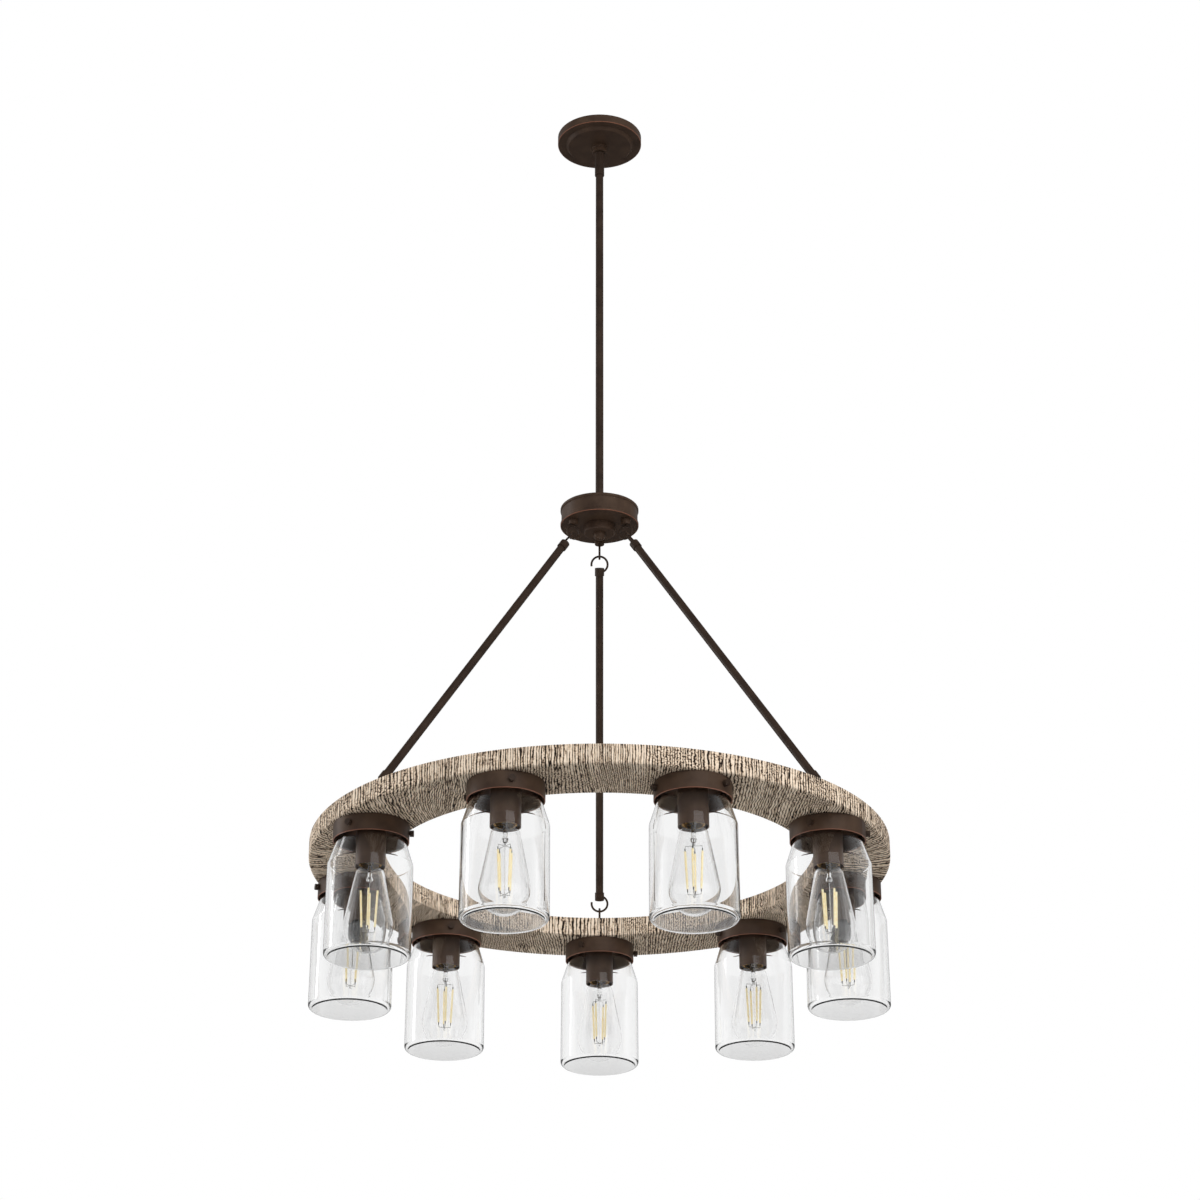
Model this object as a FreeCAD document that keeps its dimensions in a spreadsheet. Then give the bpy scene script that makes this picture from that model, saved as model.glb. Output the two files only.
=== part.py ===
"""Wagon wheel chandelier: nine glass jars under a wooden ring that hangs from a hub by three rods.

Frame: millimetres, +Z up. The origin is the middle of the ceiling plate, on the ceiling, and the
chandelier hangs down from it. Heights are given as depths below the ceiling. The first arm and the
first light stand towards +Y, and what repeats goes round the vertical axis from there.
"""
import math
import os
import re

import FreeCAD
import Part
import Sketcher

SIZES = {
    # Ceiling plate: the strap that screws to the outlet box
    "strap_length": 112.0,
    "strap_width": 19.0,
    "strap_thickness": 2.5,
    "slot_spacing": 88.9,
    "slot_length": 14.0,
    "slot_width": 5.0,
    "pipe_radius": 5.1,
    "pipe_bore": 3.6,
    # Canopy: the spun cup that hides the outlet box
    "canopy_radius": 63.5,
    "canopy_side": 12.8,
    "canopy_ledge_radius": 51.5,
    "canopy_step_radius": 47.4,
    "canopy_depth": 17.0,
    "canopy_sheet": 1.0,
    "canopy_neck_radius": 11.2,
    "canopy_neck_height": 3.8,
    "canopy_neck_round": 1.2,
    "collar_waist_radius": 10.2,
    "collar_waist": 1.2,
    "collar_radius": 11.0,
    "collar_height": 5.5,
    "collar_round": 0.7,
    # Swivel that lets the stem hang straight
    "housing_radius": 9.0,
    "housing_bore": 7.45,
    "housing_height": 18.0,
    "plug_height": 6.0,
    "liner_radius": 7.2,
    "liner_angle": 33.0,
    "ball_radius": 6.3,
    "ball_lift": 4.85,
    "ball_cut_angle": 50.0,
    "ball_running_gap": 0.25,
    "ball_neck_radius": 3.4,
    "ball_bore": 2.2,
    "ball_stud": 14.0,
    "swivel_gap": 1.0,
    # Stem
    "sleeve_radius": 7.15,
    "sleeve_length": 39.6,
    "sleeve_round": 0.5,
    "stem_radius": 5.7,
    "stem_bore": 4.2,
    "fit_gap": 0.1,
    # Hub
    "hub_depth": 634.6,
    "hub_height": 27.4,
    "hub_radius": 56.0,
    "hub_waist_inset": 1.4,
    "hub_bead": 3.5,
    "hub_bead_round": 0.9,
    "hub_sheet": 1.6,
    "cover_thickness": 1.5,
    "boss_radius": 22.2,
    "boss_height": 11.5,
    "boss_round": 2.3,
    "finial_radius": 8.5,
    "finial_height": 9.0,
    "finial_round": 6.3,
    "nipple_radius": 4.1,
    "nipple_bore": 2.6,
    "nipple_grip": 12.0,
    "nut_thickness": 4.0,
    "nut_flats": 15.0,
    # Eye bolts, under the hub and on top of the ring
    "wire_radius": 1.5,
    "eye_loop_radius": 10.0,
    "eye_neck": 0.3,
    "eye_collar_radius": 6.8,
    "hub_eye_radius": 43.0,
    "hub_collar_height": 7.6,
    "ring_collar_height": 6.7,
    "eye_nut_flats": 7.0,
    "eye_nut_thickness": 2.5,
    # Arms: a rod with a capped hook at each end
    "arm_radius": 5.5,
    "hook_radius": 11.65,
    "hook_seat_gap": 0.35,
    "hook_sweep": 264.0,
    "hook_tip_lean": 12.0,
    "cap_radius": 6.75,
    "cap_length": 11.0,
    "cap_offset": 5.4,
    "cap_floor": 3.0,
    # Ring
    "ring_depth": 1152.0,
    "ring_thickness": 26.5,
    "ring_radius": 392.8,
    "ring_width": 103.6,
    "ring_edge": 3.5,
    "ring_crease": 1.2,
    # Lights: nine, on one circle under the ring
    "light_count": 9,
    "arm_count": 3,
    "light_inset": 50.8,
    "stud_radius": 4.9,
    "stud_bore": 3.4,
    "stud_grip": 4.5,
    "washer_radius": 10.0,
    "washer_thickness": 1.5,
    "holder_radius": 49.6,
    "holder_height": 23.0,
    "holder_sheet": 1.2,
    "socket_radius": 19.65,
    "socket_drop": 57.5,
    "socket_sheet": 1.2,
    "lampholder_wall": 3.6,
    "lampholder_floor": 6.0,
    "lampholder_inset": 3.0,
    "shell_sheet": 0.6,
    "shell_length": 29.0,
    "screw_count": 3,
    "screw_height": 11.5,
    "screw_radius": 2.0,
    "screw_head_radius": 4.2,
    "screw_head_length": 5.2,
    "screw_head_gap": 0.4,
    "screw_turn": 30.0,
    # Glass jars
    "jar_top_gap": 4.5,
    "jar_height": 175.6,
    "jar_neck_radius": 45.0,
    "jar_neck_height": 18.0,
    "jar_shoulder_height": 33.0,
    "jar_shoulder_radius": 55.6,
    "jar_radius": 56.2,
    "jar_wall": 2.5,
    "jar_corner": 7.0,
    "jar_shoulder_round": 5.0,
    "jar_screw_gap": 0.3,
    # Bulbs
    "bulb_tip_drop": 170.5,
    "bulb_radius": 32.4,
    "bulb_taper_radius": 18.5,
    "bulb_taper_drop": 64.5,
    "bulb_neck_radius": 12.4,
    "bulb_glass": 0.8,
    "base_radius": 13.2,
    "base_sheet": 0.5,
    "base_length": 27.0,
    "base_lip": 1.2,
    "contact_radius": 4.0,
    "contact_height": 3.0,
    "bulb_neck_grip": 8.0,
    "mount_radius": 3.2,
    "mount_length": 27.0,
    "bead_radius": 4.3,
    "filament_count": 4,
    "filament_radius": 1.4,
    "filament_top_reach": 11.0,
    "filament_bottom_reach": 8.5,
    "filament_top_drop": 86.0,
    "filament_length": 56.0,
    "filament_turn": 30.0,
    "lead_radius": 0.45,
    "lead_drop": 8.0,
    "support_radius": 0.6,
}

# Places that follow from the sizes, as formulas on the same sheet.
HOUSING_END = "(canopy_depth + canopy_neck_height + collar_waist + collar_height)"
HOUSING_TOP = f"({HOUSING_END} - housing_height)"
BALL_DEPTH = f"({HOUSING_END} - ball_lift)"
STEM_TOP = f"({HOUSING_END} + swivel_gap)"
HUB_END = "(hub_depth + hub_height)"
HUB_EYE = f"({HUB_END} + hub_collar_height + eye_neck + wire_radius + eye_loop_radius)"
RING_SEAT = "(ring_depth - washer_thickness)"
RING_EYE = f"({RING_SEAT} - ring_collar_height - eye_neck - wire_radius - eye_loop_radius)"
LIGHT_RADIUS = "(ring_radius - light_inset)"
ARM_RUN = f"({LIGHT_RADIUS} - hub_eye_radius)"
ARM_DROP = f"({RING_EYE} - {HUB_EYE})"
ARM_SPAN = f"sqrt({ARM_RUN}^2 + {ARM_DROP}^2)"
HOOK_CENTRE = "(eye_loop_radius - 2 * wire_radius - hook_seat_gap + hook_radius)"
LIGHT_TOP = "(ring_depth + ring_thickness)"
SOCKET_TOP = f"({LIGHT_TOP} + holder_sheet)"
SOCKET_END = f"({LIGHT_TOP} + socket_drop)"
LAMPHOLDER_TOP = f"({SOCKET_TOP} + socket_sheet + nut_thickness + lampholder_inset)"
LAMPHOLDER_END = f"({SOCKET_END} - lampholder_inset)"
LAMPHOLDER_BORE = "(socket_radius - socket_sheet - fit_gap - lampholder_wall)"
SHELL_TOP = f"({LAMPHOLDER_END} - shell_length)"
BASE_END = f"({LAMPHOLDER_END} + base_lip)"
BASE_TOP = f"({BASE_END} - base_length)"
BULB_END = f"({LIGHT_TOP} + bulb_tip_drop)"
BULB_TAPER = f"({LIGHT_TOP} + bulb_taper_drop)"
BULB_TOP = f"({BASE_END} - bulb_neck_grip)"
JAR_TOP = f"({LIGHT_TOP} + jar_top_gap)"
JAR_END = f"({JAR_TOP} + jar_height)"
MOUNT_END = f"({BULB_TOP} + mount_length)"
FILAMENT_TOP = f"({LIGHT_TOP} + filament_top_drop)"
FILAMENT_END = f"({FILAMENT_TOP} + filament_length)"
SUPPORT_END = f"({FILAMENT_END} + lead_drop)"
SCREW_DEPTH = f"({LIGHT_TOP} + screw_height)"

doc = FreeCAD.newDocument("WagonWheelChandelier")
sheet = doc.addObject("Spreadsheet::Sheet", "Sizes")
for row, (size_name, size_value) in enumerate(SIZES.items(), start=1):
    sheet.set(f"A{row}", size_name)
    sheet.set(f"B{row}", str(size_value))
    sheet.setAlias(f"B{row}", size_name)
doc.recompute()

sub_parts = []


def ex(formula):
    """Write a formula of size names as an expression on the sheet."""
    return re.sub(
        r"[a-z][a-z0-9_]*",
        lambda word: f"Sizes.{word.group(0)}" if word.group(0) in SIZES else word.group(0),
        formula,
    )


def size(formula):
    """Work out a formula of size names as a plain number."""
    value = sheet.evalExpression(ex(formula))
    return float(getattr(value, "Value", value))


def new_body(name):
    """Start one sub-part."""
    body = doc.addObject("PartDesign::Body", name)
    body.Label = name
    sub_parts.append(body)
    return body


def new_pattern(name):
    """Start a piece that is drawn once, on the vertical axis, and then repeated."""
    body = doc.addObject("PartDesign::Body", f"single_{name}")
    body.Label = f"single_{name}"
    return body


def repeat(name, pattern, placements):
    """Make one sub-part of a group of copies, each in its own placement."""
    copies = []
    for placement in placements:
        copy = doc.addObject("App::Link", f"{name}_copy")
        copy.LinkedObject = pattern
        copy.Placement = placement
        copies.append(copy)
    group = doc.addObject("Part::Compound", name)
    group.Label = name
    group.Links = copies
    sub_parts.append(group)
    return group


def origin_feature(body, role):
    """Find a plane or axis of the body's own origin."""
    return next(item for item in body.Origin.OriginFeatures if item.Role == role)


def fix_point(sketch, item, end, across, down):
    """Tie one end of a sketch line to its radius and its depth."""
    for kind, formula in (("DistanceX", across), ("DistanceY", f"-({down})")):
        number = sketch.addConstraint(Sketcher.Constraint(kind, -1, 1, item, end, size(formula)))
        sketch.setExpression(f"Constraints[{number}]", ex(formula))


def outline(body, name, points):
    """Sketch a closed outline of (radius, depth) points beside the vertical axis."""
    sketch = body.newObject("Sketcher::SketchObject", name)
    sketch.AttachmentSupport = (origin_feature(body, "YZ_Plane"), [""])
    sketch.MapMode = "FlatFace"
    corners = [FreeCAD.Vector(size(radius), -size(depth), 0) for radius, depth in points]
    for start, end in zip(corners, corners[1:] + corners[:1]):
        sketch.addGeometry(Part.LineSegment(start, end))
    for item in range(len(corners)):
        following = (item + 1) % len(corners)
        sketch.addConstraint(Sketcher.Constraint("Coincident", item, 2, following, 1))
        fix_point(sketch, item, 1, *points[item])
    return sketch


def turn(body, sketch, name, kind="Revolution"):
    """Turn a sketched outline about the vertical axis."""
    feature = body.newObject(f"PartDesign::{kind}", name)
    feature.Profile = sketch
    feature.ReferenceAxis = (sketch, ["V_Axis"])
    feature.Angle = 360
    doc.recompute()
    return feature


def turned(body, name, points):
    """Add a turned solid with the given (radius, depth) outline."""
    return turn(body, outline(body, f"{name}_outline", points), name)


def tube(body, name, outer, bore, top, bottom):
    """Add a turned tube between two depths."""
    return turned(body, name, [(outer, top), (outer, bottom), (bore, bottom), (bore, top)])


def primitive(body, kind, name, at=("0", "0", "0"), rotation=None, **formulas):
    """Add or cut a box, cylinder, sphere, prism or torus whose place and sizes follow formulas."""
    feature = body.newObject(f"PartDesign::{kind}", name)
    feature.Placement = FreeCAD.Placement(FreeCAD.Vector(), rotation or FreeCAD.Rotation())
    for direction, formula in zip("xyz", at):
        feature.setExpression(f"Placement.Base.{direction}", ex(formula))
    for setting, formula in formulas.items():
        feature.setExpression(setting, ex(formula))
    doc.recompute()
    return feature


def round_rims(body, name, radius, rims):
    """Round the circular edges at the given (radius, depth) places."""
    tip = body.Tip
    chosen = []
    for rim_radius, depth in rims:
        for index, edge in enumerate(tip.Shape.Edges, start=1):
            if not isinstance(edge.Curve, Part.Circle):
                continue
            same_radius = abs(edge.Curve.Radius - size(rim_radius)) < 1e-4
            same_depth = abs(edge.Curve.Center.z + size(depth)) < 1e-4
            if same_radius and same_depth:
                chosen.append(f"Edge{index}")
    fillet = body.newObject("PartDesign::Fillet", name)
    fillet.Base = (tip, chosen)
    fillet.setExpression("Radius", ex(radius))
    body.Tip = fillet
    doc.recompute()
    return fillet


def hex_nut(body, name, flats, bore, top, thickness):
    """Add a hexagonal nut with its hole, below the given depth."""
    place = ("0", "0", f"-({top} + {thickness})")
    primitive(body, "AdditivePrism", name, place,
              Circumradius=f"{flats} / sqrt(3)", Height=thickness)
    primitive(body, "SubtractiveCylinder", f"{name}_hole", place, Radius=bore, Height=thickness)


def facing(bearing):
    """Unit vector of a bearing that runs clockwise from +Y, seen from above."""
    return FreeCAD.Vector(math.sin(math.radians(bearing)), math.cos(math.radians(bearing)), 0)


def upright(bearing, reach=0.0, lift=0.0):
    """Turn a piece to a bearing and move it out that way, and up."""
    return FreeCAD.Placement(
        facing(bearing) * reach + FreeCAD.Vector(0, 0, lift),
        FreeCAD.Rotation(FreeCAD.Vector(0, 0, 1), -bearing),
    )


def bearings(count):
    """Bearings of so many pieces spread evenly round the axis."""
    number = int(size(count))
    return [360 * step / number for step in range(number)]


def drilled(body, name, count, reach, radius, top, thickness):
    """Drill upright holes spread evenly round the axis."""
    for bearing in bearings(count):
        side = facing(bearing)
        at = (f"{reach} * {side.x:.12f}", f"{reach} * {side.y:.12f}", f"-({top} + {thickness})")
        primitive(body, "SubtractiveCylinder", name, at, Radius=radius, Height=thickness)


# --- Ceiling plate, canopy and swivel -----------------------------------------------------------

def ceiling_crossbar():
    """Flat strap with a slot at each end for the outlet box and a tapped hole for the pipe."""
    body = new_body("ceiling_crossbar")
    primitive(
        body, "AdditiveBox", "strap",
        ("-strap_length / 2", "-strap_width / 2", "-strap_thickness"),
        Length="strap_length", Width="strap_width", Height="strap_thickness",
    )
    primitive(
        body, "SubtractiveCylinder", "pipe_hole", ("0", "0", "-strap_thickness"),
        Radius="pipe_radius + fit_gap", Height="strap_thickness",
    )
    for side, sign in (("right", "+"), ("left", "-")):
        middle = f"{sign}slot_spacing / 2"
        straight = "(slot_length - slot_width)"
        primitive(
            body, "SubtractiveBox", f"slot_{side}",
            (f"{middle} - {straight} / 2", "-slot_width / 2", "-strap_thickness"),
            Length=straight, Width="slot_width", Height="strap_thickness",
        )
        for end in ("+", "-"):
            primitive(
                body, "SubtractiveCylinder", f"slot_{side}_end",
                (f"{middle} {end} {straight} / 2", "0", "-strap_thickness"),
                Radius="slot_width / 2", Height="strap_thickness",
            )


def canopy_group():
    """Pipe, nut, canopy shell and the collar that holds the shell up."""
    tube(new_body("crossbar_nipple"), "pipe", "pipe_radius", "pipe_bore",
         "fit_gap", f"{HOUSING_TOP} + plug_height - fit_gap")
    hex_nut(new_body("crossbar_nut"), "nut", "nut_flats", "pipe_radius + fit_gap",
            "strap_thickness", "nut_thickness")

    canopy = new_body("canopy")
    slope = "atan((canopy_depth - canopy_side) / (canopy_ledge_radius - canopy_step_radius))"
    shift = f"canopy_sheet * tan({slope} / 2)"
    neck_end = "canopy_depth + canopy_neck_height"
    turned(canopy, "shell", [
        ("canopy_radius", "0"),
        ("canopy_radius", "canopy_side"),
        ("canopy_ledge_radius", "canopy_side"),
        ("canopy_step_radius", "canopy_depth"),
        ("canopy_neck_radius", "canopy_depth"),
        ("canopy_neck_radius", neck_end),
        ("housing_radius + fit_gap", neck_end),
        ("housing_radius + fit_gap", "canopy_depth - canopy_sheet"),
        (f"canopy_step_radius - {shift}", "canopy_depth - canopy_sheet"),
        (f"canopy_ledge_radius - {shift}", "canopy_side - canopy_sheet"),
        ("canopy_radius - canopy_sheet", "canopy_side - canopy_sheet"),
        ("canopy_radius - canopy_sheet", "0"),
    ])
    round_rims(canopy, "rolled_edge", "canopy_sheet / 2", [("canopy_radius", "canopy_side")])
    round_rims(canopy, "rolled_neck", "canopy_neck_round", [("canopy_neck_radius", neck_end)])

    waist_end = f"({neck_end} + collar_waist)"
    collar = new_body("canopy_collar")
    turned(collar, "collar", [
        ("collar_waist_radius", neck_end),
        ("collar_waist_radius", waist_end),
        ("collar_radius", waist_end),
        ("collar_radius", HOUSING_END),
        ("housing_radius + fit_gap", HOUSING_END),
        ("housing_radius + fit_gap", neck_end),
    ])
    round_rims(collar, "rolled_edges", "collar_round",
               [("collar_radius", waist_end), ("collar_radius", HOUSING_END)])


def swivel_group():
    """Threaded housing, its plug, the liner that rocks about X and the ball that rocks about Y."""
    housing = new_body("swivel_housing")
    tube(housing, "barrel", "housing_radius", "housing_bore", HOUSING_TOP, BALL_DEPTH)
    tube(housing, "lip", "housing_radius", "ball_neck_radius", BALL_DEPTH, HOUSING_END)
    primitive(housing, "SubtractiveSphere", "socket", ("0", "0", f"-{BALL_DEPTH}"),
              Radius="housing_bore")

    tube(new_body("swivel_plug"), "plug", "housing_bore - fit_gap", "pipe_radius + fit_gap",
         HOUSING_TOP, f"{HOUSING_TOP} + plug_height")

    liner = new_body("swivel_liner")
    primitive(liner, "AdditiveSphere", "outside", ("0", "0", f"-{BALL_DEPTH}"),
              Radius="liner_radius", Angle1="-liner_angle", Angle2="liner_angle")
    primitive(liner, "SubtractiveSphere", "inside", ("0", "0", f"-{BALL_DEPTH}"),
              Radius="ball_radius + ball_running_gap")

    ball = new_body("swivel_ball")
    primitive(ball, "AdditiveSphere", "ball", ("0", "0", f"-{BALL_DEPTH}"),
              Radius="ball_radius", Angle1="-90", Angle2="ball_cut_angle")
    stud_end = f"({STEM_TOP} + ball_stud)"
    primitive(ball, "AdditiveCylinder", "stud", ("0", "0", f"-{stud_end}"),
              Radius="ball_neck_radius", Height=f"{stud_end} - {BALL_DEPTH}")
    primitive(ball, "SubtractiveCylinder", "wire_way", ("0", "0", f"-{stud_end}"),
              Radius="ball_bore", Height=f"{stud_end} - {HOUSING_TOP}")


# --- Stem and hub -------------------------------------------------------------------------------

def stem_group():
    """Sleeve that joins the ball's stud to the stem, and the stem tube down to the hub."""
    stud_seat = f"({STEM_TOP} + ball_stud + fit_gap)"
    sleeve_end = f"({STEM_TOP} + sleeve_length)"
    sleeve = new_body("stem_sleeve")
    turned(sleeve, "sleeve", [
        ("sleeve_radius", STEM_TOP),
        ("sleeve_radius", sleeve_end),
        ("stem_radius + fit_gap", sleeve_end),
        ("stem_radius + fit_gap", stud_seat),
        ("ball_neck_radius + fit_gap", stud_seat),
        ("ball_neck_radius + fit_gap", STEM_TOP),
    ])
    round_rims(sleeve, "soft_end", "sleeve_round", [("sleeve_radius", sleeve_end)])
    tube(new_body("stem_rod"), "rod", "stem_radius", "stem_bore",
         f"{stud_seat} + fit_gap", "hub_depth")


def hub_group():
    """Beaded drum, its bottom cover, boss and finial, all drawn together by a hollow nipple."""
    hole = "nipple_radius + fit_gap"
    housing = new_body("hub_housing")
    turned(housing, "drum", [
        ("hub_radius", "hub_depth"),
        ("hub_radius", "hub_depth + hub_bead"),
        ("hub_radius - hub_waist_inset", "hub_depth + hub_bead + hub_waist_inset"),
        ("hub_radius - hub_waist_inset", f"{HUB_END} - hub_bead - hub_waist_inset"),
        ("hub_radius", f"{HUB_END} - hub_bead"),
        ("hub_radius", HUB_END),
        ("hub_radius - hub_waist_inset - hub_sheet", HUB_END),
        ("hub_radius - hub_waist_inset - hub_sheet", "hub_depth + hub_sheet"),
        (hole, "hub_depth + hub_sheet"),
        (hole, "hub_depth"),
    ])
    round_rims(housing, "soft_beads", "hub_bead_round",
               [("hub_radius", "hub_depth"), ("hub_radius", HUB_END)])

    cover_top = f"({HUB_END} - cover_thickness)"
    cover = new_body("hub_cover")
    tube(cover, "disc", "hub_radius - hub_waist_inset - hub_sheet - fit_gap", hole,
         cover_top, HUB_END)
    drilled(cover, "eye_hole", "arm_count", "hub_eye_radius", "wire_radius + fit_gap",
            cover_top, "cover_thickness")

    boss_end = f"({HUB_END} + boss_height)"
    boss = new_body("hub_boss")
    tube(boss, "boss", "boss_radius", hole, HUB_END, boss_end)
    round_rims(boss, "soft_edge", "boss_round", [("boss_radius", boss_end)])

    finial_end = f"({boss_end} + finial_height)"
    thread_end = f"({boss_end} + finial_height / 2)"
    finial = new_body("hub_finial")
    turned(finial, "finial", [
        ("finial_radius", boss_end),
        ("finial_radius", finial_end),
        ("0", finial_end),
        ("0", thread_end),
        (hole, thread_end),
        (hole, boss_end),
    ])
    round_rims(finial, "dome", "finial_round", [("finial_radius", finial_end)])

    tube(new_body("hub_nipple"), "nipple", "nipple_radius", "nipple_bore",
         "hub_depth - nipple_grip", f"{thread_end} - fit_gap")
    nuts = new_body("hub_nipple_nuts")
    hex_nut(nuts, "top_nut", "nut_flats", hole, "hub_depth + hub_sheet", "nut_thickness")
    hex_nut(nuts, "cover_nut", "nut_flats", hole, f"{cover_top} - nut_thickness", "nut_thickness")

    spots = [upright(bearing, size("hub_eye_radius")) for bearing in bearings("arm_count")]
    collar = new_pattern("hub_eye_collar")
    tube(collar, "collar", "eye_collar_radius", "wire_radius + fit_gap", HUB_END,
         f"{HUB_END} + hub_collar_height")
    repeat("hub_eye_collars", collar, spots)

    nut_top = f"({cover_top} - eye_nut_thickness)"
    nut = new_pattern("hub_eye_nut")
    hex_nut(nut, "nut", "eye_nut_flats", "wire_radius + fit_gap", nut_top, "eye_nut_thickness")
    repeat("hub_eye_nuts", nut, spots)

    bolt = eye_bolt("hub_eye_bolt", HUB_EYE, f"({HUB_EYE} - eye_loop_radius)",
                    f"({nut_top} - eye_neck)")
    repeat("hub_eye_bolts", bolt, spots)


def eye_bolt(name, loop_depth, shank_end, shank_top):
    """Closed wire eye whose loop stands in a plane through the vertical axis."""
    body = new_pattern(name)
    standing = FreeCAD.Rotation(FreeCAD.Vector(0, 1, 0), 90)
    primitive(body, "AdditiveTorus", "loop", ("0", "0", f"-{loop_depth}"), standing,
              Radius1="eye_loop_radius", Radius2="wire_radius")
    primitive(body, "AdditiveCylinder", "shank", ("0", "0", f"-{shank_end}"),
              Radius="wire_radius", Height=f"{shank_end} - {shank_top}")
    return body


# --- Arms ---------------------------------------------------------------------------------------

def arm_placement(bearing):
    """Frame of one arm: its origin in the hub eye, +Z down the arm and +X along the ring."""
    lean = math.atan2(size(ARM_RUN), size(ARM_DROP))
    along = FreeCAD.Vector(0, math.sin(lean), -math.cos(lean))
    across = FreeCAD.Vector(1, 0, 0)
    axes = FreeCAD.Rotation(across, along.cross(across), along, "ZXY")
    start = FreeCAD.Placement(FreeCAD.Vector(0, size("hub_eye_radius"), -size(HUB_EYE)), axes)
    return upright(bearing).multiply(start)


def hooked_cap(name, centre, cap_base, bore_base, outward):
    """Cap welded to an open wire hook, whose tip stands out to one side and leans to the rod."""
    body = new_body(name)
    lean = math.radians(90 + size("hook_tip_lean"))
    towards_eye = FreeCAD.Vector(0, 0, outward)
    sideways = FreeCAD.Vector(1, 0, 0)
    tip = towards_eye * math.cos(lean) - sideways * math.sin(lean)
    onward = towards_eye * math.sin(lean) + sideways * math.cos(lean)
    axes = FreeCAD.Rotation(tip, onward, tip.cross(onward), "XYZ")
    primitive(body, "AdditiveTorus", "hook", ("0", "0", centre), axes,
              Radius1="hook_radius", Radius2="wire_radius", Angle3="hook_sweep")
    primitive(body, "AdditiveCylinder", "cap", ("0", "0", cap_base),
              Radius="cap_radius", Height="cap_length")
    primitive(body, "SubtractiveCylinder", "rod_seat", ("0", "0", bore_base),
              Radius="arm_radius + fit_gap", Height="cap_length - cap_floor")
    return body


def arm(number, bearing):
    """One arm: a rod with a hooked cap on each end."""
    placement = arm_placement(bearing)
    cap_start = f"({HOOK_CENTRE} + cap_offset)"
    rod_start = f"({cap_start} + cap_floor + fit_gap)"
    top = hooked_cap(f"arm_hook_top_{number}", HOOK_CENTRE, cap_start,
                     f"{cap_start} + cap_floor", -1)
    bottom = hooked_cap(f"arm_hook_bottom_{number}", f"{ARM_SPAN} - {HOOK_CENTRE}",
                        f"{ARM_SPAN} - {cap_start} - cap_length",
                        f"{ARM_SPAN} - {cap_start} - cap_length", 1)
    rod = new_body(f"arm_rod_{number}")
    primitive(rod, "AdditiveCylinder", "rod", ("0", "0", rod_start),
              Radius="arm_radius", Height=f"{ARM_SPAN} - 2 * {rod_start}")
    for body in (top, bottom, rod):
        body.Placement = placement


# --- Ring and what is fixed to it ---------------------------------------------------------------

def ring_group():
    """Wooden ring, and the eyes, collars, washers and nuts on top of it."""
    ring = new_body("wheel_ring")
    hole = "(ring_radius - ring_width)"
    tube(ring, "band", "ring_radius", hole, "ring_depth", LIGHT_TOP)
    round_rims(ring, "worn_edge", "ring_edge", [("ring_radius", LIGHT_TOP)])
    round_rims(ring, "creases", "ring_crease", [
        ("ring_radius", "ring_depth"),
        (hole, "ring_depth"),
        (hole, LIGHT_TOP),
    ])
    drilled(ring, "stud_hole", "light_count", LIGHT_RADIUS, "stud_radius + fit_gap",
            "ring_depth", "ring_thickness")

    stud = new_pattern("light_stud")
    tube(stud, "stud", "stud_radius", "stud_bore", f"{RING_SEAT} - stud_grip",
         f"{SOCKET_TOP} + socket_sheet + nut_thickness")
    repeat("light_studs", stud, light_spots())

    washer = new_pattern("ring_washer")
    tube(washer, "washer", "washer_radius", "stud_radius + fit_gap", RING_SEAT, "ring_depth")
    repeat("ring_washers", washer, light_spots())

    nut = new_pattern("light_nut")
    hex_nut(nut, "nut", "nut_flats", "stud_radius + fit_gap", f"{RING_SEAT} - nut_thickness",
            "nut_thickness")
    socket_lift = size(f"{RING_SEAT} - nut_thickness - ({SOCKET_TOP} + socket_sheet)")
    eyed = bearings("arm_count")
    plain = [bearing for bearing in bearings("light_count") if bearing not in eyed]
    above = [upright(bearing, size(LIGHT_RADIUS)) for bearing in plain]
    repeat("light_nuts", nut, above + light_spots(socket_lift))

    collar_top = f"({RING_SEAT} - ring_collar_height)"
    thread_top = f"({RING_SEAT} - stud_grip - fit_gap)"
    spots = [upright(bearing, size(LIGHT_RADIUS)) for bearing in eyed]
    collar = new_pattern("ring_eye_collar")
    turned(collar, "collar", [
        ("eye_collar_radius", collar_top),
        ("eye_collar_radius", RING_SEAT),
        ("stud_radius + fit_gap", RING_SEAT),
        ("stud_radius + fit_gap", thread_top),
        ("wire_radius + fit_gap", thread_top),
        ("wire_radius + fit_gap", collar_top),
    ])
    repeat("ring_eye_collars", collar, spots)
    bolt = eye_bolt("ring_eye_bolt", RING_EYE, thread_top, f"({RING_EYE} + eye_loop_radius)")
    repeat("ring_eye_bolts", bolt, spots)


def light_spots(lift=0.0):
    """Placements of all the lights, for a piece that is drawn on the vertical axis."""
    reach = size(LIGHT_RADIUS)
    return [upright(bearing, reach, lift) for bearing in bearings("light_count")]


def screw_bearings():
    """Bearings of the thumb screws round their holder."""
    return [180 + size("screw_turn") + bearing for bearing in bearings("screw_count")]


def level_rod(body, kind, name, bearing, radius, start, length):
    """Add or cut a level cylinder that runs outwards at the thumb screws' depth."""
    side = facing(bearing)
    level = FreeCAD.Rotation(FreeCAD.Vector(0, 0, 1), side)
    at = (f"{start} * {side.x:.12f}", f"{start} * {side.y:.12f}", f"-{SCREW_DEPTH}")
    primitive(body, kind, name, at, level, Radius=radius, Height=length)


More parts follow.
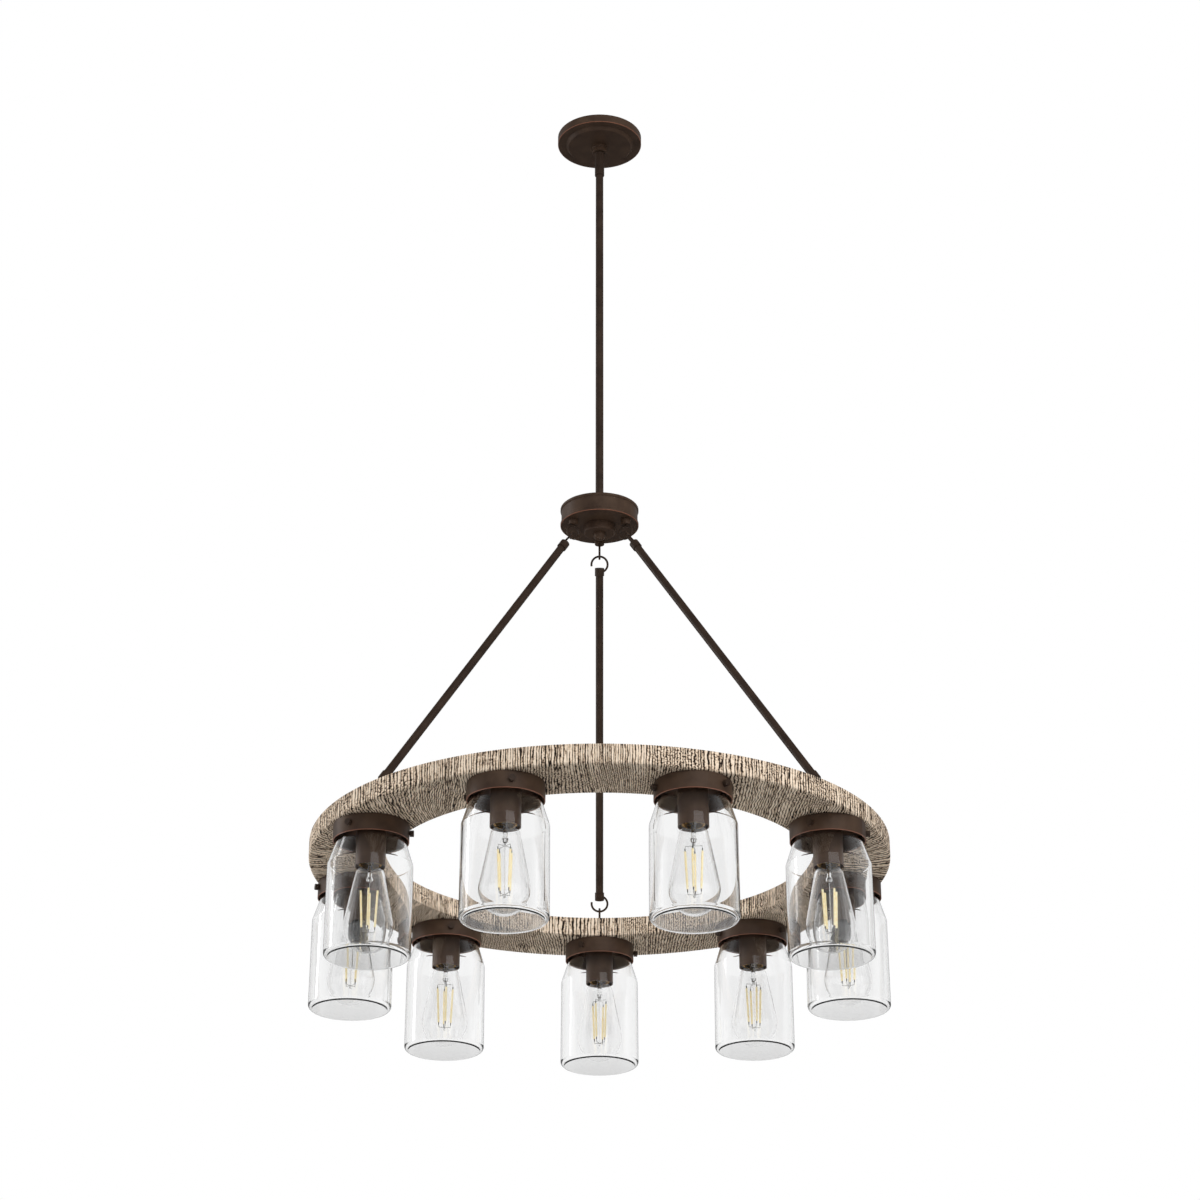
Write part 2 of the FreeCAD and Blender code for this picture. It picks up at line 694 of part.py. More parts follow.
def light_group():
    """Jar holders, thumb screws, socket cups and lampholders of all the lights."""
    holder = new_pattern("jar_holder")
    holder_end = f"({LIGHT_TOP} + holder_height)"
    turned(holder, "cup", [
        ("holder_radius", LIGHT_TOP),
        ("holder_radius", holder_end),
        ("holder_radius - holder_sheet", holder_end),
        ("holder_radius - holder_sheet", SOCKET_TOP),
        ("stud_radius + fit_gap", SOCKET_TOP),
        ("stud_radius + fit_gap", LIGHT_TOP),
    ])
    round_rims(holder, "soft_shoulder", "holder_sheet", [("holder_radius", LIGHT_TOP)])
    for bearing in screw_bearings():
        level_rod(holder, "SubtractiveCylinder", "screw_hole", bearing, "screw_radius + fit_gap",
                  "(holder_radius - 2 * holder_sheet)", "3 * holder_sheet")
    repeat("jar_holders", holder, light_spots())

    screw = new_pattern("thumb_screw")
    tip = "(jar_neck_radius + jar_screw_gap)"
    head = "(holder_radius + screw_head_gap)"
    level_rod(screw, "AdditiveCylinder", "shank", 0, "screw_radius", tip, f"{head} - {tip}")
    level_rod(screw, "AdditiveCylinder", "head", 0, "screw_head_radius", head,
              "screw_head_length")
    repeat("thumb_screws", screw, [
        spot.multiply(upright(bearing)) for spot in light_spots() for bearing in screw_bearings()
    ])

    cup = new_pattern("socket_cup")
    inner = "socket_radius - socket_sheet"
    turned(cup, "cup", [
        ("socket_radius", SOCKET_TOP),
        ("socket_radius", SOCKET_END),
        (inner, SOCKET_END),
        (inner, f"{SOCKET_TOP} + socket_sheet"),
        ("stud_radius + fit_gap", f"{SOCKET_TOP} + socket_sheet"),
        ("stud_radius + fit_gap", SOCKET_TOP),
    ])
    repeat("socket_cups", cup, light_spots())

    lampholder = new_pattern("lampholder")
    turned(lampholder, "body", [
        (f"{inner} - fit_gap", LAMPHOLDER_TOP),
        (f"{inner} - fit_gap", LAMPHOLDER_END),
        (LAMPHOLDER_BORE, LAMPHOLDER_END),
        (LAMPHOLDER_BORE, f"{LAMPHOLDER_TOP} + lampholder_floor"),
        ("0", f"{LAMPHOLDER_TOP} + lampholder_floor"),
        ("0", LAMPHOLDER_TOP),
    ])
    repeat("lampholders", lampholder, light_spots())

    shell = new_pattern("lampholder_shell")
    outer = f"({LAMPHOLDER_BORE} - fit_gap)"
    tube(shell, "shell", outer, f"{outer} - shell_sheet", SHELL_TOP, LAMPHOLDER_END)
    repeat("lampholder_shells", shell, light_spots())


# --- Jars and bulbs -----------------------------------------------------------------------------

def glass_jar(number, placement):
    """Jar with a straight neck, a sloped shoulder and a flat floor, in glass of one thickness."""
    body = new_body(f"jar_{number}")
    neck_end = f"({JAR_TOP} + jar_neck_height)"
    shoulder_end = f"({neck_end} + jar_shoulder_height)"
    floor = f"({JAR_END} - jar_wall)"
    turned(body, "glass", [
        ("jar_neck_radius", JAR_TOP),
        ("jar_neck_radius", neck_end),
        ("jar_shoulder_radius", shoulder_end),
        ("jar_radius", JAR_END),
        ("0", JAR_END),
        ("0", floor),
        ("jar_radius - jar_wall", floor),
        ("jar_shoulder_radius - jar_wall", shoulder_end),
        ("jar_neck_radius - jar_wall", neck_end),
        ("jar_neck_radius - jar_wall", JAR_TOP),
    ])
    round_rims(body, "foot", "jar_corner", [("jar_radius", JAR_END)])
    round_rims(body, "floor_corner", "jar_corner - jar_wall", [("jar_radius - jar_wall", floor)])
    round_rims(body, "shoulders", "jar_shoulder_round", [
        ("jar_shoulder_radius", shoulder_end),
        ("jar_shoulder_radius - jar_wall", shoulder_end),
    ])
    body.Placement = placement


def bulb_outline(body, name, inset):
    """Sketch half a tapered bulb, drawn in by the given inset, with a round end on the axis."""
    radius = f"(bulb_radius - {inset})"
    neck = f"(bulb_neck_radius - {inset})"
    shoulder = f"(bulb_taper_radius - {inset})"
    centre = f"({BULB_END} - bulb_radius)"
    rise = f"({centre} - {BULB_TAPER})"
    lean = f"(asin({radius} / sqrt({shoulder}^2 + {rise}^2)) - atan({shoulder} / {rise}))"
    places = [
        ("0", BULB_TOP),
        (neck, BULB_TOP),
        (neck, BASE_END),
        (shoulder, BULB_TAPER),
        (f"{radius} * cos({lean})", f"{centre} - {radius} * sin({lean})"),
        ("0", f"{centre} + {radius}"),
    ]
    corners = [FreeCAD.Vector(size(across), -size(down), 0) for across, down in places]
    sketch = body.newObject("Sketcher::SketchObject", name)
    sketch.AttachmentSupport = (origin_feature(body, "YZ_Plane"), [""])
    sketch.MapMode = "FlatFace"
    lines = len(corners) - 2
    for start, end in zip(corners[:lines], corners[1:lines + 1]):
        sketch.addGeometry(Part.LineSegment(start, end))
    middle = FreeCAD.Vector(0, -size(centre), 0)
    circle = Part.Circle(middle, FreeCAD.Vector(0, 0, 1), size(radius))
    tangent = math.radians(size(lean))
    arc = sketch.addGeometry(Part.ArcOfCircle(circle, -math.pi / 2, tangent))
    closing = sketch.addGeometry(Part.LineSegment(corners[-1], corners[0]))
    for item in range(lines):
        fix_point(sketch, item, 1, *places[item])
    for item in range(lines - 1):
        sketch.addConstraint(Sketcher.Constraint("Coincident", item, 2, item + 1, 1))
    fix_point(sketch, lines - 1, 2, *places[lines])
    fix_point(sketch, arc, 3, "0", centre)
    sketch.addConstraint(Sketcher.Constraint("Coincident", lines - 1, 2, arc, 2))
    sketch.addConstraint(Sketcher.Constraint("Coincident", arc, 1, closing, 1))
    sketch.addConstraint(Sketcher.Constraint("Coincident", closing, 2, 0, 1))
    sketch.addConstraint(Sketcher.Constraint("PointOnObject", arc, 1, -2))
    return sketch


def bulb_glass(number, placement):
    """Thin glass envelope of one bulb, open where it sits in its base."""
    body = new_body(f"bulb_glass_{number}")
    turn(body, bulb_outline(body, "outside", "0"), "envelope")
    turn(body, bulb_outline(body, "inside", "bulb_glass"), "hollow", "Groove")
    body.Placement = placement


def bulb_fittings():
    """Screw bases, and the glass mounts that carry the filaments, of all the bulbs."""
    cap = new_pattern("bulb_base")
    inner = "base_radius - base_sheet"
    turned(cap, "cap", [
        ("contact_radius", f"{BASE_TOP} - contact_height"),
        ("contact_radius", BASE_TOP),
        ("base_radius", f"{BASE_TOP} + contact_height"),
        ("base_radius", BASE_END),
        (inner, BASE_END),
        (inner, f"{BASE_TOP} + contact_height + base_sheet"),
        ("contact_radius", f"{BASE_TOP} + base_sheet"),
        ("0", f"{BASE_TOP} + base_sheet"),
        ("0", f"{BASE_TOP} - contact_height"),
    ])
    repeat("bulb_bases", cap, light_spots())

    mount = new_pattern("bulb_mount")
    flare = "(bulb_neck_radius - bulb_glass - fit_gap)"
    turned(mount, "stem", [
        ("0", BULB_TOP),
        (flare, BULB_TOP),
        (flare, f"{BULB_TOP} + bulb_glass"),
        ("mount_radius", f"{BULB_TOP} + bulb_neck_grip"),
        ("mount_radius", MOUNT_END),
        ("0", MOUNT_END),
    ])
    primitive(mount, "AdditiveSphere", "bead", ("0", "0", f"-{MOUNT_END}"), Radius="bead_radius")
    primitive(mount, "AdditiveCylinder", "support", ("0", "0", f"-{SUPPORT_END}"),
              Radius="support_radius", Height=f"{SUPPORT_END} - {MOUNT_END}")
    for bearing in bearings("filament_count"):
        filament(mount, size("filament_turn") + bearing)
    repeat("bulb_filaments", mount, light_spots())


def filament(body, bearing):
    """One filament rod with the lead that carries it and the lead that joins it to the others."""
    side = facing(bearing)
    rod_between(body, "upper_lead", side, "lead_radius",
                ("0", MOUNT_END), ("filament_top_reach", f"{FILAMENT_TOP} + lead_radius"))
    rod_between(body, "filament", side, "filament_radius",
                ("filament_top_reach", FILAMENT_TOP), ("filament_bottom_reach", FILAMENT_END))
    rod_between(body, "lower_lead", side, "lead_radius",
                ("filament_bottom_reach", f"{FILAMENT_END} - lead_radius"), ("0", SUPPORT_END))


def rod_between(body, name, side, radius, start, end):
    """Add a thin cylinder between two (reach, depth) places on one side of a light's axis."""
    run = size(f"{end[0]} - {start[0]}")
    fall = size(f"{end[1]} - {start[1]}")
    direction = side * run - FreeCAD.Vector(0, 0, fall)
    rotation = FreeCAD.Rotation(FreeCAD.Vector(0, 0, 1), direction)
    at = (f"{start[0]} * {side.x:.12f}", f"{start[0]} * {side.y:.12f}", f"-({start[1]})")
    length = f"sqrt(({end[0]} - {start[0]})^2 + ({end[1]} - {start[1]})^2)"
    primitive(body, "AdditiveCylinder", name, at, rotation, Radius=radius, Height=length)


ceiling_crossbar()
canopy_group()
swivel_group()
stem_group()
hub_group()
for arm_number, arm_bearing in enumerate(bearings("arm_count"), start=1):
    arm(arm_number, arm_bearing)
ring_group()
light_group()
for light_number, light_spot in enumerate(light_spots(), start=1):
    glass_jar(light_number, light_spot)
    bulb_glass(light_number, light_spot)
bulb_fittings()
doc.recompute()

for item in doc.Objects:
    if "Invalid" in item.State or "Error" in item.State:
        raise RuntimeError(f"{item.Label} failed to recompute: {item.State}")
for sub_part in sub_parts:
    if sub_part.Shape.isNull() or not sub_part.Shape.isValid():
        raise RuntimeError(f"{sub_part.Label} has no valid shape")

os.makedirs("parts", exist_ok=True)
for sub_part in sub_parts:
    sub_part.Shape.exportStep(f"parts/{sub_part.Label}.step")
    print(f"{sub_part.Label}: {len(sub_part.Shape.Solids)} solids, {sub_part.Shape.Volume:.0f} mm3")
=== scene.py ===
"""Looks of the wagon wheel chandelier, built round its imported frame.

Metres, +Z up, the origin on the ceiling in the middle of the ceiling plate. Sizes are written in
millimetres, and heights as depths below the ceiling. Bearings go from +Y towards +X.
"""
import logging
import math
from collections.abc import Sequence
from dataclasses import dataclass, field
from enum import Enum, IntEnum

import bpy
import numpy as np
from bpy.types import Material, Mesh, Node, NodeSocket, NodeTree
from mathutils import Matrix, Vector


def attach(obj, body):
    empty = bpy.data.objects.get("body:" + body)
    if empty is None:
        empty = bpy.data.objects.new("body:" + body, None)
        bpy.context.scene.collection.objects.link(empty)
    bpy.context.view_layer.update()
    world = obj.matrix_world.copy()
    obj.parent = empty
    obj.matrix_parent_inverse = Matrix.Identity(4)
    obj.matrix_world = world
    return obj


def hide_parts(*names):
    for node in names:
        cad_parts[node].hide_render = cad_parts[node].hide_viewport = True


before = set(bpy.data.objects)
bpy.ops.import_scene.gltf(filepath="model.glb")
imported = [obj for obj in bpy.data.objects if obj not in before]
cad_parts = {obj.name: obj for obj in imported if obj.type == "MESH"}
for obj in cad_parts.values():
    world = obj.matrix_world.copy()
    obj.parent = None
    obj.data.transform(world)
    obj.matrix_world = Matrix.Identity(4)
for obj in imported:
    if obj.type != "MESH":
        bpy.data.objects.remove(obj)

LOG = logging.getLogger("chandelier")
MILLIMETRE = 0.001
LIGHT_BEARINGS = tuple(range(0, 360, 40))
LIGHT_REACH = 342.0
ROUNDING_STEPS = 8
ON_AXIS = 1e-6

Outline = list[tuple[float, float]]


class Slot(Enum):
    """Material slots of the record that new pieces are finished from."""

    BARNWOOD = "barnwood"
    CLEAR_GLASS = "clear_glass"
    BULB_GLASS = "bulb_glass"
    FILAMENT = "filament"


class BulbPart(IntEnum):
    """Order of the materials inside a bulb."""

    STRIP = 0
    WIRE = 1
    GLASS = 2


# Colours and nodes


def linear(colour: str) -> tuple[float, float, float, float]:
    """Turn an sRGB hex colour into linear values.

    Args:
        colour: Six hex digits after a hash sign.

    Returns:
        Red, green, blue and an alpha of 1.
    """
    parts = [int(colour[start:start + 2], 16) / 255 for start in (1, 3, 5)]
    parts = [c / 12.92 if c <= 0.04045 else ((c + 0.055) / 1.055) ** 2.4 for c in parts]
    return parts[0], parts[1], parts[2], 1.0


def per_metre(size_mm: float) -> float:
    """Return the texture scale at which one feature of a pattern is that many millimetres."""
    return 1.0 / (size_mm * MILLIMETRE)


def feed(node: Node, inputs: dict[str | int, object]) -> None:
    """Set inputs of a node, each to a value, or from a socket or a node's first output.

    Args:
        node: The node.
        inputs: What goes into its input sockets.
    """
    for key, source in inputs.items():
        if isinstance(source, Node):
            source = source.outputs[0]
        if isinstance(source, NodeSocket):
            node.id_data.links.new(source, node.inputs[key])
        else:
            node.inputs[key].default_value = source


def add_node(
    tree: NodeTree,
    kind: str,
    inputs: dict[str | int, object] | None = None,
    stops: Sequence[tuple[float, str]] = (),
    **settings: object,
) -> Node:
    """Add a node with its inputs and settings.

    Args:
        tree: Node tree that gets the node.
        kind: Node type without the ShaderNode prefix.
        inputs: What goes into its input sockets, as feed takes it.
        stops: Positions and sRGB hex colours, where the node is a colour ramp.
        settings: Properties of the node.

    Returns:
        The new node.
    """
    node = tree.nodes.new(f"ShaderNode{kind}")
    for key, value in settings.items():
        setattr(node, key, value)
    feed(node, inputs or {})
    for index, (position, colour) in enumerate(stops):
        ramp = node.color_ramp.elements
        stop = ramp[index] if index < len(ramp) else ramp.new(position)
        stop.position = position
        stop.color = linear(colour)
    return node


@dataclass(frozen=True)
class Coat:
    """What a finish is painted on.

    Attributes:
        tree: Node tree of the material.
        shader: Its principled shader.
        place: Position on the piece, in metres.
    """

    tree: NodeTree
    shader: Node
    place: NodeSocket


@dataclass(frozen=True)
class Finish:
    """A surface finish: a named material with a principled shader."""

    name: str

    def material(self) -> Material:
        """Return the finish's material, made the first time it is asked for.

        Returns:
            The material.
        """
        material = bpy.data.materials.get(self.name)
        if material is None:
            material = bpy.data.materials.new(self.name)
            material.use_nodes = True
            tree = material.node_tree
            place = add_node(tree, "TexCoord").outputs["Object"]
            self.paint(Coat(tree, tree.nodes["Principled BSDF"], place))
        return material

    def paint(self, coat: Coat) -> None:
        """Fill in the shader.

        Args:
            coat: Material to fill in.
        """
        raise NotImplementedError


@dataclass(frozen=True)
class RubbedBronze(Finish):
    """Oil-rubbed bronze: a dark brown patina on plated steel, sealed with a satin lacquer.

    The patina is cloudy at the size of a fingertip and lightly speckled, so a broad reflection
    breaks up softly. Where the maker rubs it through, at a rim, a thin line of copper shows. Each
    rim is given by its radius (0 for any), its depth and the width of the line.
    """

    rims: tuple[tuple[float, float, float], ...] = ()
    patina: str = "#463327"
    worn: str = "#5a4535"
    copper: str = "#93604a"
    cloud: float = 22.0
    speckle: float = 2.2
    speckling: float = 0.1

    def paint(self, coat: Coat) -> None:
        """Fill in the shader: clouded patina, copper at the rubbed rims, fine orange peel.

        Args:
            coat: Material to fill in.
        """
        tree, place = coat.tree, coat.place
        cloud = add_node(tree, "TexNoise", {"Vector": place, "Scale": per_metre(self.cloud),
                                            "Detail": 3.0})
        speckle = add_node(tree, "TexNoise", {"Vector": place, "Scale": per_metre(self.speckle),
                                              "Detail": 2.0})
        blend = add_node(tree, "Mix", {0: self.speckling, 2: cloud, 3: speckle}, data_type="FLOAT")
        painted = add_node(tree, "ValToRGB", {"Fac": blend},
                           ((0.3, self.patina), (0.7, self.worn)))
        height = add_node(tree, "SeparateXYZ", {"Vector": place}).outputs["Z"]
        level = add_node(tree, "VectorMath", {0: place, 1: (1.0, 1.0, 0.0)}, operation="MULTIPLY")
        reach = add_node(tree, "VectorMath", {0: level}, operation="LENGTH").outputs["Value"]
        for radius, depth, width in self.rims:
            line = width * MILLIMETRE
            below = add_node(tree, "Math", {0: height, 1: depth * MILLIMETRE}, operation="ADD")
            apart = add_node(tree, "CombineXYZ", {"Z": below})
            if radius:
                beside = add_node(tree, "Math", {0: reach, 1: radius * MILLIMETRE},
                                  operation="SUBTRACT")
                feed(apart, {"X": beside})
            away = add_node(tree, "VectorMath", {0: apart}, operation="LENGTH").outputs["Value"]
            ragged = add_node(tree, "Math", {0: speckle, 1: 0.5 * line, 2: away},
                              operation="MULTIPLY_ADD")
            rubbed = add_node(tree, "MapRange", {"Value": ragged, "From Min": 0.6 * line,
                                                 "From Max": 1.5 * line, "To Min": 1.0,
                                                 "To Max": 0.0}, interpolation_type="SMOOTHSTEP")
            painted = add_node(tree, "Mix", {0: rubbed, 6: painted, 7: linear(self.copper)},
                               data_type="RGBA").outputs[2]
        gloss = add_node(tree, "MapRange", {"Value": blend, "To Min": 0.42, "To Max": 0.52})
        peel = add_node(tree, "Bump", {"Height": speckle, "Strength": 0.02,
                                       "Distance": 0.2 * MILLIMETRE})
        feed(coat.shader, {"Base Color": painted, "Roughness": gloss, "Metallic": 0.25,
                           "Normal": peel})


@dataclass(frozen=True)
class PlainMetal(Finish):
    """A bare or plated metal, such as zinc-plated steel or drawn brass.

    Its colour wanders slightly where the plating or the tarnish is thicker, and fine machining
    marks spread the highlights.
    """

    light: str = "#b9bcc0"
    dull: str = "#8f9298"
    roughness: float = 0.34
    blotch: float = 9.0
    grit: float = 0.5

    def paint(self, coat: Coat) -> None:
        """Fill in the shader: blotched metal with fine marks.

        Args:
            coat: Material to fill in.
        """
        tree, place = coat.tree, coat.place
        blotch = add_node(tree, "TexNoise", {"Vector": place, "Scale": per_metre(self.blotch),
                                             "Detail": 4.0})
        grit = add_node(tree, "TexNoise", {"Vector": place, "Scale": per_metre(self.grit)})
        colour = add_node(tree, "ValToRGB", {"Fac": blotch},
                          ((0.35, self.dull), (0.65, self.light)))
        gloss = add_node(tree, "MapRange", {"Value": blotch, "To Min": self.roughness - 0.08,
                                            "To Max": self.roughness + 0.1})
        marks = add_node(tree, "Bump", {"Height": grit, "Strength": 0.1,
                                        "Distance": 0.1 * MILLIMETRE})
        feed(coat.shader, {"Base Color": colour, "Roughness": gloss, "Metallic": 1.0,
                           "Normal": marks})


@dataclass(frozen=True)
class Moulded(Finish):
    """A moulded insulator, such as phenolic or nylon.

    It is the same colour all through, with faint flow marks and a fine mould texture.
    """

    base: str = "#1d1a18"
    flow: str = "#2b2622"
    roughness: float = 0.4
    flow_size: float = 6.0
    grain: float = 0.6

    def paint(self, coat: Coat) -> None:
        """Fill in the shader: faint flow marks over a fine grain.

        Args:
            coat: Material to fill in.
        """
        tree, place = coat.tree, coat.place
        flow = add_node(tree, "TexNoise", {"Vector": place, "Scale": per_metre(self.flow_size),
                                           "Detail": 3.0, "Distortion": 1.2})
        colour = add_node(tree, "ValToRGB", {"Fac": flow}, ((0.35, self.base), (0.7, self.flow)))
        grain = add_node(tree, "TexNoise", {"Vector": place, "Scale": per_metre(self.grain)})
        texture = add_node(tree, "Bump", {"Height": grain, "Strength": 0.15,
                                          "Distance": 0.1 * MILLIMETRE})
        feed(coat.shader, {"Base Color": colour, "Roughness": self.roughness, "Normal": texture})


@dataclass(frozen=True)
class Glass(Finish):
    """Clear soda-lime glass, blown or pressed.

    It is almost colourless, but a long way through it, along an edge, takes light away, so
    outlines show as soft grey lines. Slow waves in the surface bend straight reflections.
    """

    tint: str = "#c9cccb"
    density: float = 12.0
    wave: float = 26.0
    wave_height: float = 0.02

    def paint(self, coat: Coat) -> None:
        """Fill in the shader: clear glass with slow waves and some absorption.

        Args:
            coat: Material to fill in.
        """
        tree = coat.tree
        waves = add_node(tree, "TexNoise", {"Vector": coat.place, "Scale": per_metre(self.wave),
                                            "Detail": 1.0})
        bump = add_node(tree, "Bump", {"Height": waves, "Strength": 0.35,
                                       "Distance": self.wave_height * MILLIMETRE})
        feed(coat.shader, {"Base Color": linear("#ffffff"), "Roughness": 0.0, "IOR": 1.5,
                           "Transmission Weight": 1.0, "Normal": bump})
        path = add_node(tree, "LightPath").outputs
        lit = add_node(tree, "Math", {0: path["Is Shadow Ray"], 1: path["Is Diffuse Ray"]},
                       operation="MAXIMUM")
        through = add_node(tree, "BsdfTransparent")
        output = tree.nodes["Material Output"]
        feed(output, {"Surface": add_node(tree, "MixShader",
                                          {0: lit, 1: coat.shader, 2: through})})
        if self.density:
            feed(output, {"Volume": add_node(tree, "VolumeAbsorption", {
                "Color": linear(self.tint), "Density": self.density})})


@dataclass(frozen=True)
class Phosphor(Finish):
    """Yellow phosphor in clear silicone, cast along an unlit filament strip.

    It is a matt cream-yellow, a little uneven where the chips sit under it. A faint painted glow,
    emission in its own colour, stands in for the light that the unlit strip would catch.
    """

    cream: str = "#fff3cc"
    deep: str = "#fbe3a4"
    chip: float = 2.2
    painted_glow: float = 0.16

    def paint(self, coat: Coat) -> None:
        """Fill in the shader: cream silicone with faint chips and a painted glow.

        Args:
            coat: Material to fill in.
        """
        chips = add_node(coat.tree, "TexNoise", {"Vector": coat.place,
                                                 "Scale": per_metre(self.chip)})
        colour = add_node(coat.tree, "ValToRGB", {"Fac": chips},
                          ((0.35, self.deep), (0.6, self.cream)))
        # painted glow: the unlit filament emits a little of its own colour, standing in for light
        # on it
        feed(coat.shader, {"Base Color": colour, "Emission Color": colour,
                           "Emission Strength": self.painted_glow, "Roughness": 0.45})


@dataclass(frozen=True)
class Barnwood(Finish):
    """Weathered barnwood: soft early wood worn away between hard ridges, then limewashed.

    The ridges run across the ring. Their tops are cream to tan, the grooves hold dark grime,
    some are cracked open, and patches of short speckled grain and a few knots break the rows.
    The weights say how far the tooth, the streaks, the row's own tone and the flecks lift it.
    """

    grain_map: str = "grain"
    patch: float = 46.0
    knot_spacing: float = 110.0
    sway: float = 20.0
    sway_rows: float = 0.8
    groove: float = 0.28
    streak: float = 14.0
    streak_rows: float = 1.9
    fleck: float = 2.6
    fleck_rows: float = 2.0
    ridged_weights: tuple[float, ...] = (1.6, 2.6, 0.5, 1.2)
    ridged_start: float = -2.29
    speckled_weights: tuple[float, ...] = (1.2, 0.8, 0.0, 3.0)
    speckled_start: float = -1.95

    def paint(self, coat: Coat) -> None:
        """Fill in the shader from the ridge number and the distance along the ridge.

        Args:
            coat: Material to fill in.
        """
        tree, place = coat.tree, coat.place
        grain = add_node(tree, "UVMap", uv_map=self.grain_map)
        parts = add_node(tree, "SeparateXYZ", {"Vector": grain}).outputs
        sway = add_node(tree, "TexNoise", {"Vector": place, "Scale": per_metre(self.sway),
                                           "Detail": 2.0})
        swayed = add_node(tree, "Math", {0: sway, 1: self.sway_rows, 2: parts["X"]},
                          operation="MULTIPLY_ADD")
        wave = add_node(tree, "Math", {0: swayed, 1: 0.5}, operation="PINGPONG")
        tooth = add_node(tree, "MapRange", {"Value": wave, "From Max": self.groove,
                                            "To Max": 0.5}, interpolation_type="SMOOTHSTEP")
        row = add_node(tree, "Math", {0: swayed}, operation="FLOOR")
        row_tone = add_node(tree, "TexWhiteNoise", {"W": row}, noise_dimensions="1D")
        streaks = self.stretched(tree, swayed, parts["Y"], self.streak_rows, self.streak)
        flecks = self.stretched(tree, swayed, parts["Y"], self.fleck_rows, self.fleck)
        lifts = (tooth, streaks, row_tone.outputs["Value"], flecks)
        ridged = self.weigh(tree, lifts, self.ridged_weights, self.ridged_start)
        speckled = self.weigh(tree, lifts, self.speckled_weights, self.speckled_start)
        patches = add_node(tree, "TexNoise", {"Vector": place, "Scale": per_metre(self.patch),
                                              "Detail": 2.0})
        patchy = add_node(tree, "MapRange", {"Value": patches, "From Min": 0.47,
                                             "From Max": 0.6}, interpolation_type="SMOOTHSTEP")
        relief = add_node(tree, "Mix", {0: patchy, 2: ridged, 3: speckled}, data_type="FLOAT")
        knots = add_node(tree, "TexVoronoi", {"Vector": place,
                                              "Scale": per_metre(self.knot_spacing)})
        ragged = add_node(tree, "Math", {0: flecks, 1: 0.12, 2: knots.outputs["Distance"]},
                          operation="MULTIPLY_ADD")
        knot = add_node(tree, "MapRange", {"Value": ragged, "From Min": 0.1, "From Max": 0.2,
                                           "To Min": 0.4, "To Max": 0.0},
                        interpolation_type="SMOOTHSTEP")
        tone = add_node(tree, "Math", {0: relief, 1: knot}, operation="SUBTRACT")
        colour = add_node(tree, "ValToRGB", {"Fac": tone},
                          ((0.1, "#1f1813"), (0.24, "#6a594d"), (0.37, "#b39c87"),
                           (0.52, "#dcc4a8"), (0.76, "#fbe8d2")))
        worn = add_node(tree, "Bump", {"Height": relief, "Strength": 0.7,
                                       "Distance": 0.6 * MILLIMETRE})
        feed(coat.shader, {"Base Color": colour, "Roughness": 0.82, "Specular IOR Level": 0.25,
                           "Normal": worn})

    def stretched(
        self,
        tree: NodeTree,
        row: Node,
        run: NodeSocket,
        rows: float,
        length: float,
    ) -> Node:
        """Make noise that is stretched along the ridges.

        Args:
            tree: Node tree of the material.
            row: Ridge number.
            run: Distance along the ridge, in millimetres.
            rows: Features to a ridge.
            length: Length of a feature along the ridge, in millimetres.

        Returns:
            The noise, from 0 to 1.
        """
        across = add_node(tree, "Math", {0: row, 1: rows}, operation="MULTIPLY")
        along = add_node(tree, "Math", {0: run, 1: 1.0 / length}, operation="MULTIPLY")
        at = add_node(tree, "CombineXYZ", {"X": across, "Y": along})
        return add_node(tree, "TexNoise", {"Vector": at, "Scale": 1.0, "Detail": 3.0})

    def weigh(
        self,
        tree: NodeTree,
        terms: Sequence[Node | NodeSocket],
        weights: Sequence[float],
        start: float,
    ) -> Node | float:
        """Add up several values, each times its weight.

        Args:
            tree: Node tree of the material.
            terms: The values.
            weights: Their weights.
            start: Number that the sum starts from.

        Returns:
            The weighted sum.
        """
        total: Node | float = start
        for term, weight in zip(terms, weights):
            total = add_node(tree, "Math", {0: term, 1: weight, 2: total},
                             operation="MULTIPLY_ADD")
        return total


CANOPY_BRONZE = RubbedBronze("oil_rubbed_bronze_canopy", rims=((63.5, 12.8, 1.0),))
HUB_BRONZE = RubbedBronze("oil_rubbed_bronze_hub", rims=((56.0, 662.0, 1.0),))
HOLDER_BRONZE = RubbedBronze("oil_rubbed_bronze_holder", rims=((0.0, 1201.5, 0.8),))
BRONZE = RubbedBronze("oil_rubbed_bronze")
ROD_BRONZE = RubbedBronze("oil_rubbed_bronze_rod", patina="#35271e", worn="#463529")
ZINC = PlainMetal("zinc_plated_steel")
BRASS = PlainMetal("drawn_brass", light="#c79a4e", dull="#a97c38", roughness=0.28)
LEAD_WIRE = PlainMetal("nickel_iron_wire", light="#6b6761", dull="#423e3a", roughness=0.35)
PHENOLIC = Moulded("black_phenolic")
NYLON = Moulded("natural_nylon", base="#d9d3c4", flow="#e4dfd2", roughness=0.45)
JAR_GLASS = Glass("clear_soda_lime_glass")
BULB_GLASS = Glass("blown_bulb_glass", density=0.0, wave=18.0)
PHOSPHOR = Phosphor("filament_phosphor")
BARNWOOD = Barnwood("weathered_barnwood")


# Meshes


def spot(bearing: float, reach: float, depth: float = 0.0) -> Vector:
    """Return the place at a bearing in degrees, a reach and a depth in millimetres."""
    turn = math.radians(bearing)
    return Vector((reach * math.sin(turn), reach * math.cos(turn), -depth)) * MILLIMETRE


